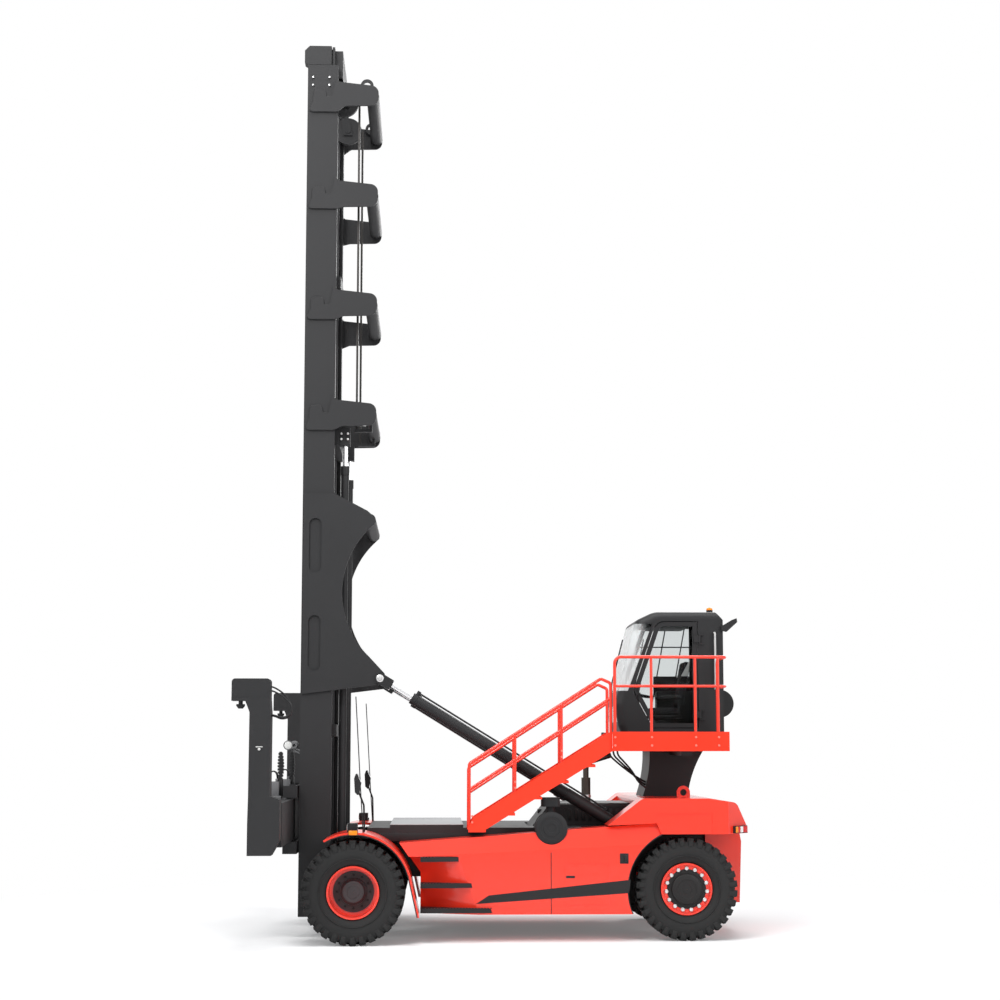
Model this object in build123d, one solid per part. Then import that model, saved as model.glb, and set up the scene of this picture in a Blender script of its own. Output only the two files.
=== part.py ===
from build123d import *
import os
from math import asin, atan2, cos, degrees, hypot, pi, radians, sin, sqrt

# Empty container handler: a lift truck with a tall two-stage mast and a side-lift spreader.
# Millimetres, +X forward, +Y left, +Z up. Every X below is measured from the drive axle, and the
# finished pieces move by AXLE_X, so that the origin lies on the ground under the machine's middle.

# Overall
FRONT_REACH = 1482
WHEELBASE = 4400
TAIL_REACH = 900
REAR_REACH = WHEELBASE + TAIL_REACH
STEER_X = -WHEELBASE
AXLE_X = (REAR_REACH - FRONT_REACH) / 2
BODY_HALF = 1650
RUN = 0.4
GAP = 10
FAR = 20000

# Tyres, wheels and axles
TYRE_RADIUS = 675
TYRE_WIDTH = 375
TYRE_SIDES = 40
TREAD_WIDTH = 290
SIDEWALL_RADIUS = 560
LUGS = 32
LUG_DEPTH = 34
LUG_FOOT = 0.66
LUG_LEAN = 0.07
RIM_RADIUS = 343
RIM_WALL = 25
RIM_INSET = 55
DISC_WALL = 40
HUB_RADIUS = 150
CAP_DEPTH = 30
CAP_RADIUS = 110
DRIVE_SPINDLE = 90
DRIVE_ARM_RADIUS = 115
DRIVE_COLLAR = 140
DRIVE_COLLAR_LENGTH = 160
DRIVE_BOWL_RADIUS = 230
DRIVE_BOWL_HALF = 260
STEER_WHEEL_Y = BODY_HALF - 240
STEER_SPINDLE = 60
KINGPIN_Y = STEER_WHEEL_Y - 160
KINGPIN_RADIUS = 40
KNUCKLE_RADIUS = 80
FORK_HALF_DEPTH = 85
FORK_HALF_HEIGHT = 90
FORK_PLATE = 40
FORK_REACH = 70
TRUNNION_RADIUS = 95
TRUNNION_HALF = 330

# Chassis and body
PANEL_DEPTH = 500
DECK_HALF = BODY_HALF - PANEL_DEPTH
DECK_SIDE = 205
RAIL_WIDTH = 130
RAIL_OUT_Y = DECK_HALF - DECK_SIDE
RAIL_IN_Y = RAIL_OUT_Y - RAIL_WIDTH
RAIL_LIFT = 135
RAIL_DEPTH = 440
RAIL_LOW = TYRE_RADIUS + RAIL_LIFT
RAIL_TOP = RAIL_LOW + RAIL_DEPTH
RAIL_FRONT = -250
RAIL_REAR = STEER_X + 950
TWIN_SPACING = 440
TWIN_INNER_Y = DECK_HALF + 270
TWIN_OUTER_Y = TWIN_INNER_Y + TWIN_SPACING
WELL_TOP = 2 * TYRE_RADIUS + 50
WELL_IN_Y = STEER_WHEEL_Y - 810
REAR_FRAME_Y = WELL_IN_Y - 60
REAR_FRAME_LOW = TYRE_RADIUS + 225
REAR_FRAME_WALL = 60
DECK_LOW = RAIL_TOP + 150
DECK_TOP = DECK_LOW + 70
DECK_FRONT = -150
SLAB_FRONT = -455
SLAB_LENGTH = 985
SLAB_THICK = 45
DECK_POST = 140
BODY_LOW = 360
PANEL_WALL = 45
FENDER_RADIUS = TYRE_RADIUS + 100
FENDER_WALL = 36
FENDER_TAIL_X = -FENDER_RADIUS - 67
FENDER_OUT_Y = TWIN_OUTER_Y + 190
PANEL_FRONT = -FENDER_RADIUS - 95
PANEL_TOP_REAR = (STEER_X + 400, DECK_TOP + 73)
PANEL_TOP_FRONT = (PANEL_FRONT + 280, DECK_TOP - 180)
PANEL_NOSE_Z = 900
CREASE = (PANEL_FRONT - 494, BODY_LOW + 781)
CREASE_RISE = 2.86
FACET_IN = 190
FACET_HIGH = 580
STEP_TOP = BODY_LOW + 755
RECESS_HEAD = (PANEL_FRONT - 500, STEP_TOP)
RECESS_FOOT = (PANEL_FRONT - 740, BODY_LOW + 95)
RECESS_SLOPE = 0.42
STEP_THICK = 60
STEP_OUT = 70
STEP_TAPER = 300
GROOVE_WIDE = 7
GROOVE_DEEP = 5
SEAM_X = STEER_X + 1808
HATCH_FRONT = STEER_X + 1620
HATCH_REAR = STEER_X + 1040
HATCH_LOW = BODY_LOW + 120
HATCH_HIGH = BODY_LOW + 660
HOOD_HALF = RAIL_IN_Y - 215
HOOD_FRONT = STEER_X + 2050
HOOD_SLOPE = 300
HOOD_TOP = DECK_TOP + 310
HOOD_WALL = 30
HOOD_EDGE = 40
ENGINE_FRONT = HOOD_FRONT + 240
ENGINE_REAR = HOOD_FRONT - 850
ENGINE_HALF = 420
ENGINE_LIFT = 190
ENGINE_BEARER = 100
WEIGHT_FRONT = STEER_X + 640
WEIGHT_TOP = DECK_TOP + 400
WEIGHT_LOW = 420
RAMP_FOOT = (STEER_X + 1055, DECK_TOP + 45)
RAMP_HEAD = (STEER_X + 590, WEIGHT_TOP)
TAIL_FRONT = STEER_X - 400
TAIL_DROP = 60
TAIL_ROUND = 120
CORNER_CUT = 350
CORNER_DEPTH = 400
CORNER_X = CORNER_CUT - REAR_REACH
CORNER_Y = BODY_HALF - CORNER_DEPTH
RELIEF_FRONT = STEER_X + 420
RELIEF_REAR = STEER_X - 340
RELIEF_HIGH = WELL_TOP + 270
RELIEF_DEEP = 10
EYE_X = STEER_X - 44
EYE_Y = BODY_HALF - 650
EYE_RISE = 65
EYE_Z = WEIGHT_TOP + EYE_RISE
EYE_RADIUS = 90
EYE_HOLE = 45
EYE_PLATE = 40
ARCH_RADIUS = TYRE_RADIUS + 125
LINER = 14
CLEANER_X = STEER_X + 1800
CLEANER_Z = DECK_TOP + 10
CLEANER_RADIUS = 205
CLEANER_RIM = 40
INTAKE_RADIUS = 60
INTAKE_LOW = CLEANER_Z + 280
INTAKE_HIGH = INTAKE_LOW + 120
STACK_X = HOOD_FRONT - 850
STACK_RADIUS = 64
STACK_HIGH = HOOD_TOP + 340
TAILPIPE_RADIUS = 40

# Mast
FORK_CHEEK = 35
MAST_HALF = RAIL_OUT_Y - FORK_CHEEK - GAP
MAST_FRONT = 786
MAST_BACK = 357
MAST_FOOT = 270
MAST_TOP = 12195
MAST_WEB = 40
MAST_FLANGE = 40
MAST_LIP_Y = MAST_HALF - 140
MAST_RUN = 11
ARM_PLATE = 30
ARM_FRONT = MAST_FRONT - 16
ARM_TIP_X = -219
ARM_TIP_ROUND = 110
ARM_RISE = 60
TONGUE_SET = 68
TONGUE_WIDTH = 170
TONGUE_ROUND = 60
TONGUE_DROP = 115
NOTCH_DEEP = 110
NOTCH_WIDE = 80
TUBE_X = -135
TUBE_RADIUS = 90
HOOK_X = -54
HOOK_DROP = 294
HOOK_RADIUS = 91
HOOK_HOLE = 50
PLATE_TOP = 6045
PLATE_LOW = 3270
BIG_TIP = 5672
SLOT_X = 605
SLOT_WIDTH = 170
HEAD_RISE = 285
INNER_TOP = MAST_TOP + HEAD_RISE
INNER_FOOT = 320
INNER_IN_Y = MAST_HALF - 260
INNER_OUT_Y = MAST_HALF - 55
INNER_WEB_Y = MAST_HALF - 180
INNER_WEB = 40
INNER_FLANGE = 35
INNER_BACK = MAST_BACK + MAST_FLANGE + MAST_RUN
INNER_FRONT = MAST_FRONT - MAST_FLANGE - MAST_RUN
HEAD_FRONT = MAST_FRONT + 48
HEAD_BACK = MAST_BACK + 97
HEAD_CUT = 70
HEAD_LOW = INNER_TOP - 420
PAD_LOW = 400
PAD_HEIGHT = 220
MEMBER_HALF = MAST_LIP_Y - GAP
MEMBER_BACK = 300
PIVOT_X = 240
PIVOT_Z = TYRE_RADIUS + 175
PIVOT_PIN = 45
PIVOT_BOSS = 90
LIFT_X = 220
LIFT_Y = MAST_LIP_Y - 120
LIFT_BARREL = 55
LIFT_ROD = 35
LIFT_BARREL_TOP = 6460
LIFT_BEAM_LOW = LIFT_BARREL_TOP + 290
LIFT_BEAM_HIGH = LIFT_BEAM_LOW + 250
FOOT_HIGH = 480
FOOT_PLATE = 40
SHEAVE_Y = INNER_IN_Y - 55
SHEAVE_RADIUS = 217
SHEAVE_X = 282
SHEAVE_Z = INNER_TOP - 730
SHEAVE_WIDTH = 60
SHEAVE_PIN = 40
SHEAVE_CHEEK = 15
CHAIN_WIDTH = 50
CHAIN_THICK = 30
ANCHOR_DROP = 150
ANCHOR_PLATE = 40

# Tilt cylinders
TILT_Y = MAST_HALF + ARM_PLATE / 2
TILT_EYE = (-300, 3485)
TILT_FOOT = (STEER_X + 790, RAIL_TOP + 200)
TILT_BARREL = 75
TILT_BASE = 84
TILT_BASE_LENGTH = 840
TILT_COLLAR = 81
TILT_ROD = 37
TILT_PIN = 35
TILT_PIN_PLAY = 14
TILT_GLAND = 510
TILT_STROKE = 420
TILT_LUG_IN = 90
TILT_LUG = 30
TILT_PIPE = 13
YOKE_WIDE = 96
YOKE_HIGH = 150
YOKE_EYE = 65

# Carriage and spreader
CARRIAGE_Y = SHEAVE_Y - 85
CARRIAGE_PLATE = 50
CARRIAGE_LOW = 1150
CARRIAGE_HIGH = 2700
CARRIAGE_FRONT = MAST_FRONT + 14
CARRIAGE_BAR = 60
FRONT_PLATE = 35
SHAFT_RADIUS = 35
SHAFT_X = CARRIAGE_FRONT + 130
SLEEVE_RADIUS = 55
SLEEVE_Y = 600
SLEEVE_LENGTH = 200
SHAFT_SUPPORT_Y = 1040
SUPPORT_PLATE = 50
FRAME_BACK = CARRIAGE_FRONT + 60
FRAME_FRONT = FRAME_BACK + 380
FRAME_LOW = 1300
FRAME_HIGH = 1850
FRAME_HALF = 2750
FRAME_WALL = 15
LOCK_INSET = 103.5
LOCK_X = FRONT_REACH - 106
LOCK_SHAFT = 27
LOCK_HALF = 52
BEAM_SHORT = 220
BEAM_LENGTH = 2 * FRAME_HALF - BEAM_SHORT
BEAM_WALL = 14
POST_IN_Y = FRAME_HALF + GAP
POST_DEPTH = 270
POST_OUT_Y = POST_IN_Y + POST_DEPTH
POST_BACK = FRAME_BACK + 131
POST_FRONT = FRAME_FRONT + 24
LOCK_Y = POST_OUT_Y - LOCK_INSET
BOX_LOW = 3122
BOX_HIGH = 3400
BOX_BACK = POST_BACK + 10
BOX_ROUND = 45
BOX_SILL = 42
BOX_LIP = 8

# Cab, platform and stairs
CAB_HALF = 660
CAB_WALL = 50
CAB_ROUND = 110
CAB_REAR = STEER_X - 675
CAB_FLOOR = WEIGHT_TOP + 660
CAB_ROOF = 1907
DOOR_REAR = 365
DOOR_GAP = 12
DOOR_FRAME = 60
GLASS = 8
HINGE_PIN = 10
HINGE_TUBE = 18
HINGE_SET = 30
HINGE_HALF = 75
HINGE_ARM = 48
GUARD_BAR = 9
UNIT_RADIUS = 195
UNIT_HALF = 330
UNIT_Z = 630
PEDESTAL_HALF = 420
PLATFORM_FRONT = CAB_REAR + 1660
PLATFORM_REAR = CAB_REAR + 95
PLATFORM_OUT_Y = BODY_HALF + GAP
PLATFORM_PLATE = 35
TOE_LOW = CAB_FLOOR - PLATFORM_PLATE
TOE_HIGH = TOE_LOW + 258
TOE_PLATE = 12
RAIL_TUBE = 21
RAIL_BEND = 90
RAIL_SET = 35
RAIL_HIGH = CAB_FLOOR + 1220
RAIL_DROP = 390
RAIL_MID = RAIL_HIGH - RAIL_DROP
STAIR_IN_Y = TILT_Y + 125
STAIR_OUT_Y = BODY_HALF - 30
STAIR_LENGTH = 1935
STAIR_FOOT = PLATFORM_FRONT + STAIR_LENGTH
STRINGER = 25
TREADS = 5
TREAD_HALF = 130
TREAD_PLATE = 35
STAIR_RAIL_RISE = 860
STAIR_RAIL_HEAD = 720


def block(x0, x1, y0, y1, z0, z1):
    """A rectangular block between two corners."""
    return Pos((x0 + x1) / 2, (y0 + y1) / 2, (z0 + z1) / 2) * Box(x1 - x0, y1 - y0, z1 - z0)


def face_of(points, rounds=()):
    """A flat outline; rounds lists the corners to round, each with its radius."""
    outline = make_face(Polyline(*points, close=True))
    for corner, radius in rounds:
        near = Vector(*corner)
        vertex = min(outline.vertices(), key=lambda v: (Vector(v.X, v.Y) - near).length)
        outline = fillet(vertex, radius)
    return outline


def side_plate(outline, y0, y1):
    """A plate cut to an outline in X and Z, from y0 to y1 across the machine."""
    if isinstance(outline, (list, tuple)):
        outline = face_of(outline)
    return Pos(0, y1, 0) * extrude(Plane.XZ * outline, y1 - y0)


def section_bar(points, x0, x1):
    """A bar with a section drawn in Y and Z, from x0 to x1."""
    return Pos(x0, 0, 0) * extrude(Plane.YZ * face_of(points), x1 - x0)


def plan_column(points, z0, z1):
    """A column with a plan drawn in X and Y, from z0 to z1."""
    return Pos(0, 0, z0) * extrude(face_of(points), z1 - z0)


def rod(start, end, radius):
    """A round bar between two points."""
    span = Vector(*end) - Vector(*start)
    placed = Plane(origin=start, z_dir=span)
    return placed * Cylinder(radius, span.length, align=(Align.CENTER, Align.CENTER, Align.MIN))


def cross_rod(x, z, y0, y1, radius):
    """A round bar across the machine."""
    return rod((x, y0, z), (x, y1, z), radius)


def turned(profile, x, z):
    """A ring or wheel turned about the Y axis, from a profile of (y, radius) points."""
    ring = revolve(Plane.YZ * face_of(profile), Axis.Y)
    return Pos(x, 0, z) * ring


def bent_tube(points, bend, radius):
    """A round tube bent round the corners of a route."""
    path = FilletPolyline(*points, radius=bend)
    return sweep((path ^ 0) * Circle(radius), path=path)


def mirrored(shape):
    """The same piece on the right-hand side."""
    return mirror(shape, about=Plane.XZ)


def both(shape):
    """A piece and its copy on the right-hand side."""
    return shape + mirrored(shape)


def many(pieces):
    """Several pieces that share one node."""
    total = Part()
    for piece in pieces:
        total += piece
    return total


nodes = {}


# Tyres: a carcass with tapered sidewalls, and a band of lugs across the tread.
def tyre(x, y):
    floor = TYRE_RADIUS - LUG_DEPTH
    tread_line, floor_line = [], []
    for lug in range(LUGS):
        corners = ((floor, 0), (TYRE_RADIUS, LUG_LEAN), (TYRE_RADIUS, LUG_FOOT - LUG_LEAN), (floor, LUG_FOOT))
        for radius, share in corners:
            angle = 2 * pi * (lug + share) / LUGS
            point = (radius * cos(angle), radius * sin(angle))
            tread_line.append(point)
            if radius == floor:
                floor_line.append(point)
    side = (TYRE_WIDTH - TREAD_WIDTH) / 2
    taper = degrees(atan2(floor - SIDEWALL_RADIUS, side))
    tread = extrude(face_of(tread_line), TREAD_WIDTH / 2, both=True)
    wall = Pos(0, 0, TREAD_WIDTH / 2) * extrude(face_of(floor_line), side, taper=taper)
    bore = extrude(RegularPolygon(RIM_RADIUS, TYRE_SIDES), TYRE_WIDTH, both=True)
    whole = tread + wall + mirror(wall, about=Plane.XY) - bore
    return Pos(x, y, TYRE_RADIUS) * Rot(90, 0, 0) * whole


# Rims: an open barrel with flanges, and a wheel disc set on the hub.
def rim_profile(y, disc_y, hub_from, hub_to, bore):
    half = TYRE_WIDTH / 2 - RIM_INSET
    outer = RIM_RADIUS * cos(pi / TYRE_SIDES) - RUN
    inner = outer - RIM_WALL
    return [
        (hub_from, bore), (hub_to, bore), (hub_to, HUB_RADIUS), (disc_y + DISC_WALL, HUB_RADIUS),
        (disc_y + DISC_WALL, inner), (y + half, inner), (y + half, outer),
        (y - half, outer), (y - half, inner), (disc_y, inner), (disc_y, HUB_RADIUS),
        (hub_from, HUB_RADIUS),
    ]


def hub_cap(y):
    return [(y, 0), (y + CAP_DEPTH, 0), (y + CAP_DEPTH, CAP_RADIUS), (y, CAP_RADIUS + 20)]


drive_hub_in = TWIN_INNER_Y - 60
drive_hub_out = TWIN_OUTER_Y - 40
twin_rims = turned(hub_cap(drive_hub_out), 0, TYRE_RADIUS)
for wheel_y, disc_y in ((TWIN_OUTER_Y, TWIN_OUTER_Y - 150), (TWIN_INNER_Y, TWIN_INNER_Y + 70)):
    profile = rim_profile(wheel_y, disc_y, drive_hub_in, drive_hub_out, DRIVE_SPINDLE + RUN)
    twin_rims += turned(profile, 0, TYRE_RADIUS)
steer_hub_in = STEER_WHEEL_Y + 10
steer_hub_out = STEER_WHEEL_Y + 130
profile = rim_profile(STEER_WHEEL_Y, STEER_WHEEL_Y + 70, steer_hub_in, steer_hub_out, STEER_SPINDLE + RUN)
steer_rim = turned(profile, STEER_X, TYRE_RADIUS) + turned(hub_cap(steer_hub_out), STEER_X, TYRE_RADIUS)
twin_tyres = tyre(0, TWIN_OUTER_Y) + tyre(0, TWIN_INNER_Y)
steer_tyre = tyre(STEER_X, STEER_WHEEL_Y)
nodes["drive_tyres_left"] = twin_tyres
nodes["drive_tyres_right"] = mirrored(twin_tyres)
nodes["drive_rims_left"] = twin_rims
nodes["drive_rims_right"] = mirrored(twin_rims)
nodes["steer_tyre_left"] = steer_tyre
nodes["steer_tyre_right"] = mirrored(steer_tyre)
nodes["steer_rim_left"] = steer_rim
nodes["steer_rim_right"] = mirrored(steer_rim)

# Drive axle: a differential bowl, two arms and the spindles that carry the twin wheels.
spindle_end = drive_hub_out - 20
shoulder_y = drive_hub_in - RUN
collar_in = shoulder_y - DRIVE_COLLAR_LENGTH
axle_half = turned(
    [
        (0, 0), (spindle_end, 0), (spindle_end, DRIVE_SPINDLE), (shoulder_y, DRIVE_SPINDLE),
        (shoulder_y, DRIVE_COLLAR), (collar_in, DRIVE_COLLAR), (collar_in, DRIVE_ARM_RADIUS),
        (DRIVE_BOWL_HALF, DRIVE_ARM_RADIUS), (DRIVE_BOWL_HALF / 2, DRIVE_BOWL_RADIUS), (0, DRIVE_BOWL_RADIUS),
    ],
    0, TYRE_RADIUS,
)
nodes["drive_axle"] = both(axle_half)

# Steer axle: a box beam with a fork at each end, and a knuckle with its kingpin in each fork.
fork_in = KINGPIN_Y - KNUCKLE_RADIUS - 2 * GAP
fork_out = KINGPIN_Y + FORK_REACH
fork_top = FORK_HALF_HEIGHT + FORK_PLATE
beam = block(STEER_X - FORK_HALF_DEPTH, STEER_X + FORK_HALF_DEPTH, -fork_out, fork_out,
             TYRE_RADIUS - fork_top, TYRE_RADIUS + fork_top)
throat = block(STEER_X - 2 * FORK_HALF_DEPTH, STEER_X + 2 * FORK_HALF_DEPTH, fork_in, fork_out + GAP,
               TYRE_RADIUS - FORK_HALF_HEIGHT, TYRE_RADIUS + FORK_HALF_HEIGHT)
pin_hole = rod((STEER_X, KINGPIN_Y, 0), (STEER_X, KINGPIN_Y, 2 * TYRE_RADIUS), KINGPIN_RADIUS + RUN)
trunnion_line = ((STEER_X - TRUNNION_HALF, 0, TYRE_RADIUS), (STEER_X + TRUNNION_HALF, 0, TYRE_RADIUS))
nodes["steer_axle"] = beam - both(throat) - both(pin_hole) + rod(*trunnion_line, TRUNNION_RADIUS)
knuckle_half = FORK_HALF_HEIGHT - 5
pin_half = fork_top + GAP
knuckle = block(STEER_X - KNUCKLE_RADIUS, STEER_X + KNUCKLE_RADIUS, KINGPIN_Y, KINGPIN_Y + KNUCKLE_RADIUS,
                TYRE_RADIUS - knuckle_half, TYRE_RADIUS + knuckle_half)
for half, radius in ((knuckle_half, KNUCKLE_RADIUS), (pin_half, KINGPIN_RADIUS)):
    knuckle += rod((STEER_X, KINGPIN_Y, TYRE_RADIUS - half), (STEER_X, KINGPIN_Y, TYRE_RADIUS + half), radius)
knuckle += cross_rod(STEER_X, TYRE_RADIUS, KINGPIN_Y, steer_hub_in - RUN, KNUCKLE_RADIUS)
knuckle += cross_rod(STEER_X, TYRE_RADIUS, KINGPIN_Y, steer_hub_out - GAP, STEER_SPINDLE)
nodes["knuckle_left"] = knuckle
nodes["knuckle_right"] = mirrored(knuckle)

# Chassis frame: two box rails, cross members, the mast forks at the front, and the rear frame.
boss_low = (PIVOT_X + PIVOT_BOSS, PIVOT_Z - PIVOT_BOSS)
boss_high = (PIVOT_X + PIVOT_BOSS, PIVOT_Z + PIVOT_BOSS)
cross_front = RAIL_FRONT - 450
fork_outline = face_of(
    [boss_low, boss_high, (0, RAIL_TOP), (cross_front, RAIL_TOP), (cross_front, RAIL_LOW),
     (PIVOT_X - PIVOT_BOSS, RAIL_LOW - 20)],
    [(boss_low, PIVOT_BOSS - 5), (boss_high, PIVOT_BOSS - 5)],
)
lug_in = MAST_HALF - MAST_WEB
mast_fork = side_plate(fork_outline, RAIL_IN_Y, lug_in - GAP)
mast_fork += side_plate(fork_outline, MAST_HALF + GAP, RAIL_OUT_Y)
mast_pin = cross_rod(PIVOT_X, PIVOT_Z, RAIL_IN_Y, RAIL_OUT_Y, PIVOT_PIN)
rail = block(RAIL_REAR, RAIL_FRONT, RAIL_IN_Y, RAIL_OUT_Y, RAIL_LOW, RAIL_TOP)
axle_mount = block(5 - DRIVE_ARM_RADIUS, DRIVE_ARM_RADIUS - 5, RAIL_IN_Y, RAIL_OUT_Y,
                   TYRE_RADIUS + DRIVE_ARM_RADIUS, RAIL_TOP - 150)
axle_mount -= block(PIVOT_X - 200, PIVOT_X + 160, lug_in - GAP, MAST_HALF + GAP, 0, FAR)
foot_x, foot_z = TILT_FOOT
tilt_lug_outline = [(foot_x + 330, RAIL_TOP), (foot_x + 70, foot_z + 70), (foot_x - 70, foot_z + 70),
                    (foot_x - 70, RAIL_TOP - 120), (RAIL_REAR + 60, RAIL_LOW + 200)]
lug_out = TILT_LUG_IN + TILT_LUG
tilt_lug = side_plate(tilt_lug_outline, TILT_Y - lug_out, TILT_Y - TILT_LUG_IN)
tilt_lug += side_plate(tilt_lug_outline, TILT_Y + TILT_LUG_IN, TILT_Y + lug_out)
tilt_lug += block(RAIL_REAR, foot_x + 330, TILT_Y - lug_out, TILT_Y + lug_out, RAIL_TOP - 100, RAIL_TOP)
tilt_lug += cross_rod(foot_x, foot_z, TILT_Y - lug_out, TILT_Y + lug_out, TILT_PIN)
rear_rail = block(TAIL_FRONT, RAIL_REAR + 120, REAR_FRAME_Y - REAR_FRAME_WALL, REAR_FRAME_Y,
                  REAR_FRAME_LOW, WELL_TOP)
frame = both(mast_fork + mast_pin + rail + axle_mount + tilt_lug + rear_rail)
CROSS_MEMBERS = [  # x from, x to, half width, z low, z high
    (cross_front, cross_front + 100, RAIL_IN_Y, RAIL_LOW + 40, RAIL_TOP - 50),
    (HOOD_FRONT + 250, HOOD_FRONT + 350, RAIL_IN_Y, RAIL_LOW, RAIL_LOW + 190),
    (RAIL_REAR, RAIL_REAR + 120, RAIL_IN_Y, RAIL_LOW + 40, RAIL_TOP),
    (STEER_X - TRUNNION_HALF - GAP, STEER_X - 250, REAR_FRAME_Y, TYRE_RADIUS - 60, WELL_TOP),
    (STEER_X + 250, STEER_X + TRUNNION_HALF + GAP, REAR_FRAME_Y, TYRE_RADIUS - 60, WELL_TOP),
]
for x0, x1, half, z0, z1 in CROSS_MEMBERS:
    frame += block(x0, x1, -half, half, z0, z1)
frame -= rod((STEER_X - 400, 0, TYRE_RADIUS), (STEER_X + 400, 0, TYRE_RADIUS), TRUNNION_RADIUS)
nodes["chassis_frame"] = frame

# Engine: one plain block between the rails, on two bearers.
engine_low = RAIL_LOW + ENGINE_LIFT
engine = block(ENGINE_REAR, ENGINE_FRONT, -ENGINE_HALF, ENGINE_HALF, engine_low, DECK_LOW - 20)
engine += block(ENGINE_REAR, ENGINE_FRONT, -RAIL_IN_Y, RAIL_IN_Y, engine_low, engine_low + ENGINE_BEARER)
nodes["engine_block"] = engine

# Counterweight: a casting that fills the tail between the wheels and roofs both wheel wells.
ARCH_ANGLE = degrees(asin((WELL_TOP - TYRE_RADIUS) / ARCH_RADIUS))
WELL_FRONT = STEER_X + ARCH_RADIUS * cos(radians(ARCH_ANGLE))
tail_top = (210 - REAR_REACH, WEIGHT_TOP - TAIL_DROP)
tail_rear = (45 - REAR_REACH, DECK_TOP + 30)
weight_outline = face_of(
    [RAMP_FOOT, RAMP_HEAD, (STEER_X - 300, WEIGHT_TOP), tail_top, tail_rear, (-REAR_REACH, DECK_TOP - 220),
     (30 - REAR_REACH, WEIGHT_LOW), (TAIL_FRONT, WEIGHT_LOW), (TAIL_FRONT, WELL_TOP), (WELL_FRONT, WELL_TOP),
     PANEL_TOP_REAR],
    [(tail_top, TAIL_ROUND), (tail_rear, TAIL_ROUND), (RAMP_HEAD, TAIL_ROUND)],
)
weight = side_plate(weight_outline, -BODY_HALF, BODY_HALF)
weight -= both(block(-FAR, STEER_X + 1400, WELL_IN_Y, FAR, 0, WELL_TOP))
weight -= block(WEIGHT_FRONT, STEER_X + 1400, -DECK_HALF, DECK_HALF, 0, FAR)
corner = plan_column([(-FAR, FAR), (-FAR, CORNER_Y), (-REAR_REACH, CORNER_Y), (CORNER_X, BODY_HALF),
                      (CORNER_X, FAR)], 0, FAR)
relief = block(RELIEF_REAR, RELIEF_FRONT, BODY_HALF - RELIEF_DEEP, FAR, 0, RELIEF_HIGH)
weight -= both(corner) + both(relief)
eye_in, eye_out = EYE_Y - EYE_PLATE / 2, EYE_Y + EYE_PLATE / 2
eye = cross_rod(EYE_X, EYE_Z, eye_in, eye_out, EYE_RADIUS)
eye += block(EYE_X - EYE_RADIUS, EYE_X + EYE_RADIUS, eye_in, eye_out, WEIGHT_TOP - 20, EYE_Z)
eye -= cross_rod(EYE_X, EYE_Z, eye_in - GAP, eye_out + GAP, EYE_HOLE)
nodes["counterweight"] = weight + both(eye)

# Side panels: hollow red body sides with a leaning upper facet, a service hatch, a seam, and a
# wedge-shaped recess that runs in towards the front behind the boarding steps.
LOW_ANGLE = -degrees(asin((TYRE_RADIUS - BODY_LOW) / ARCH_RADIUS))
arch_line = CenterArc((STEER_X, TYRE_RADIUS), ARCH_RADIUS, LOW_ANGLE, ARCH_ANGLE - LOW_ANGLE)
panel_lines = Polyline(arch_line @ 1, PANEL_TOP_REAR, PANEL_TOP_FRONT, (PANEL_FRONT, PANEL_NOSE_Z),
                       (PANEL_FRONT, BODY_LOW), arch_line @ 0)
panel = side_plate(make_face(panel_lines + arch_line), DECK_HALF, BODY_HALF)
facet = section_bar([(BODY_HALF, 0), (BODY_HALF + FACET_IN, 0), (BODY_HALF + FACET_IN, FACET_HIGH),
                     (BODY_HALF - FACET_IN, FACET_HIGH)], -WHEELBASE, WHEELBASE)
panel -= Pos(CREASE[0], 0, CREASE[1]) * Rot(0, CREASE_RISE, 0) * facet
recess_line = Vector(RECESS_FOOT[0] - RECESS_HEAD[0], 0, RECESS_FOOT[1] - RECESS_HEAD[1]).normalized()
recess_plane = Plane(origin=(RECESS_HEAD[0], BODY_HALF, RECESS_HEAD[1]), x_dir=recess_line,
                     z_dir=(-RECESS_SLOPE * recess_line.Z, 1, RECESS_SLOPE * recess_line.X))
outside = recess_plane * Box(FAR, FAR, FAR, align=(Align.CENTER, Align.CENTER, Align.MIN))
below_top = block(PANEL_FRONT - 1500, PANEL_FRONT + 500, 0, FAR, 0, STEP_TOP)
hollow = block(STEER_X + ARCH_RADIUS + PANEL_WALL, PANEL_FRONT - PANEL_WALL, 0, BODY_HALF - PANEL_WALL,
               BODY_LOW + PANEL_WALL, STEP_TOP - GAP)
panel -= hollow - Pos(0, -PANEL_WALL, 0) * outside
panel -= outside & below_top
hatch = block(HATCH_REAR, HATCH_FRONT, BODY_HALF - GROOVE_DEEP, FAR, HATCH_LOW, HATCH_HIGH)
hatch -= block(HATCH_REAR + GROOVE_WIDE, HATCH_FRONT - GROOVE_WIDE, 0, FAR,
               HATCH_LOW + GROOVE_WIDE, HATCH_HIGH - GROOVE_WIDE)
seam = block(SEAM_X, SEAM_X + GROOVE_WIDE, BODY_HALF - GROOVE_DEEP, FAR, 0, FAR)
panel -= hatch + seam
panel -= cross_rod(CLEANER_X, CLEANER_Z, DECK_HALF - GAP, BODY_HALF + GAP, CLEANER_RADIUS + GAP)
nodes["side_panel_left"] = panel
nodes["side_panel_right"] = mirrored(panel)

# Arch liners: bent sheets behind the wheel arch openings.
liner_in = CenterArc((STEER_X, TYRE_RADIUS), ARCH_RADIUS - LINER, LOW_ANGLE, ARCH_ANGLE - LOW_ANGLE)
liner_lines = arch_line + Line(arch_line @ 1, liner_in @ 1) + liner_in + Line(liner_in @ 0, arch_line @ 0)
nodes["arch_liners"] = both(side_plate(make_face(liner_lines), DECK_HALF, BODY_HALF - 5))


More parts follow.
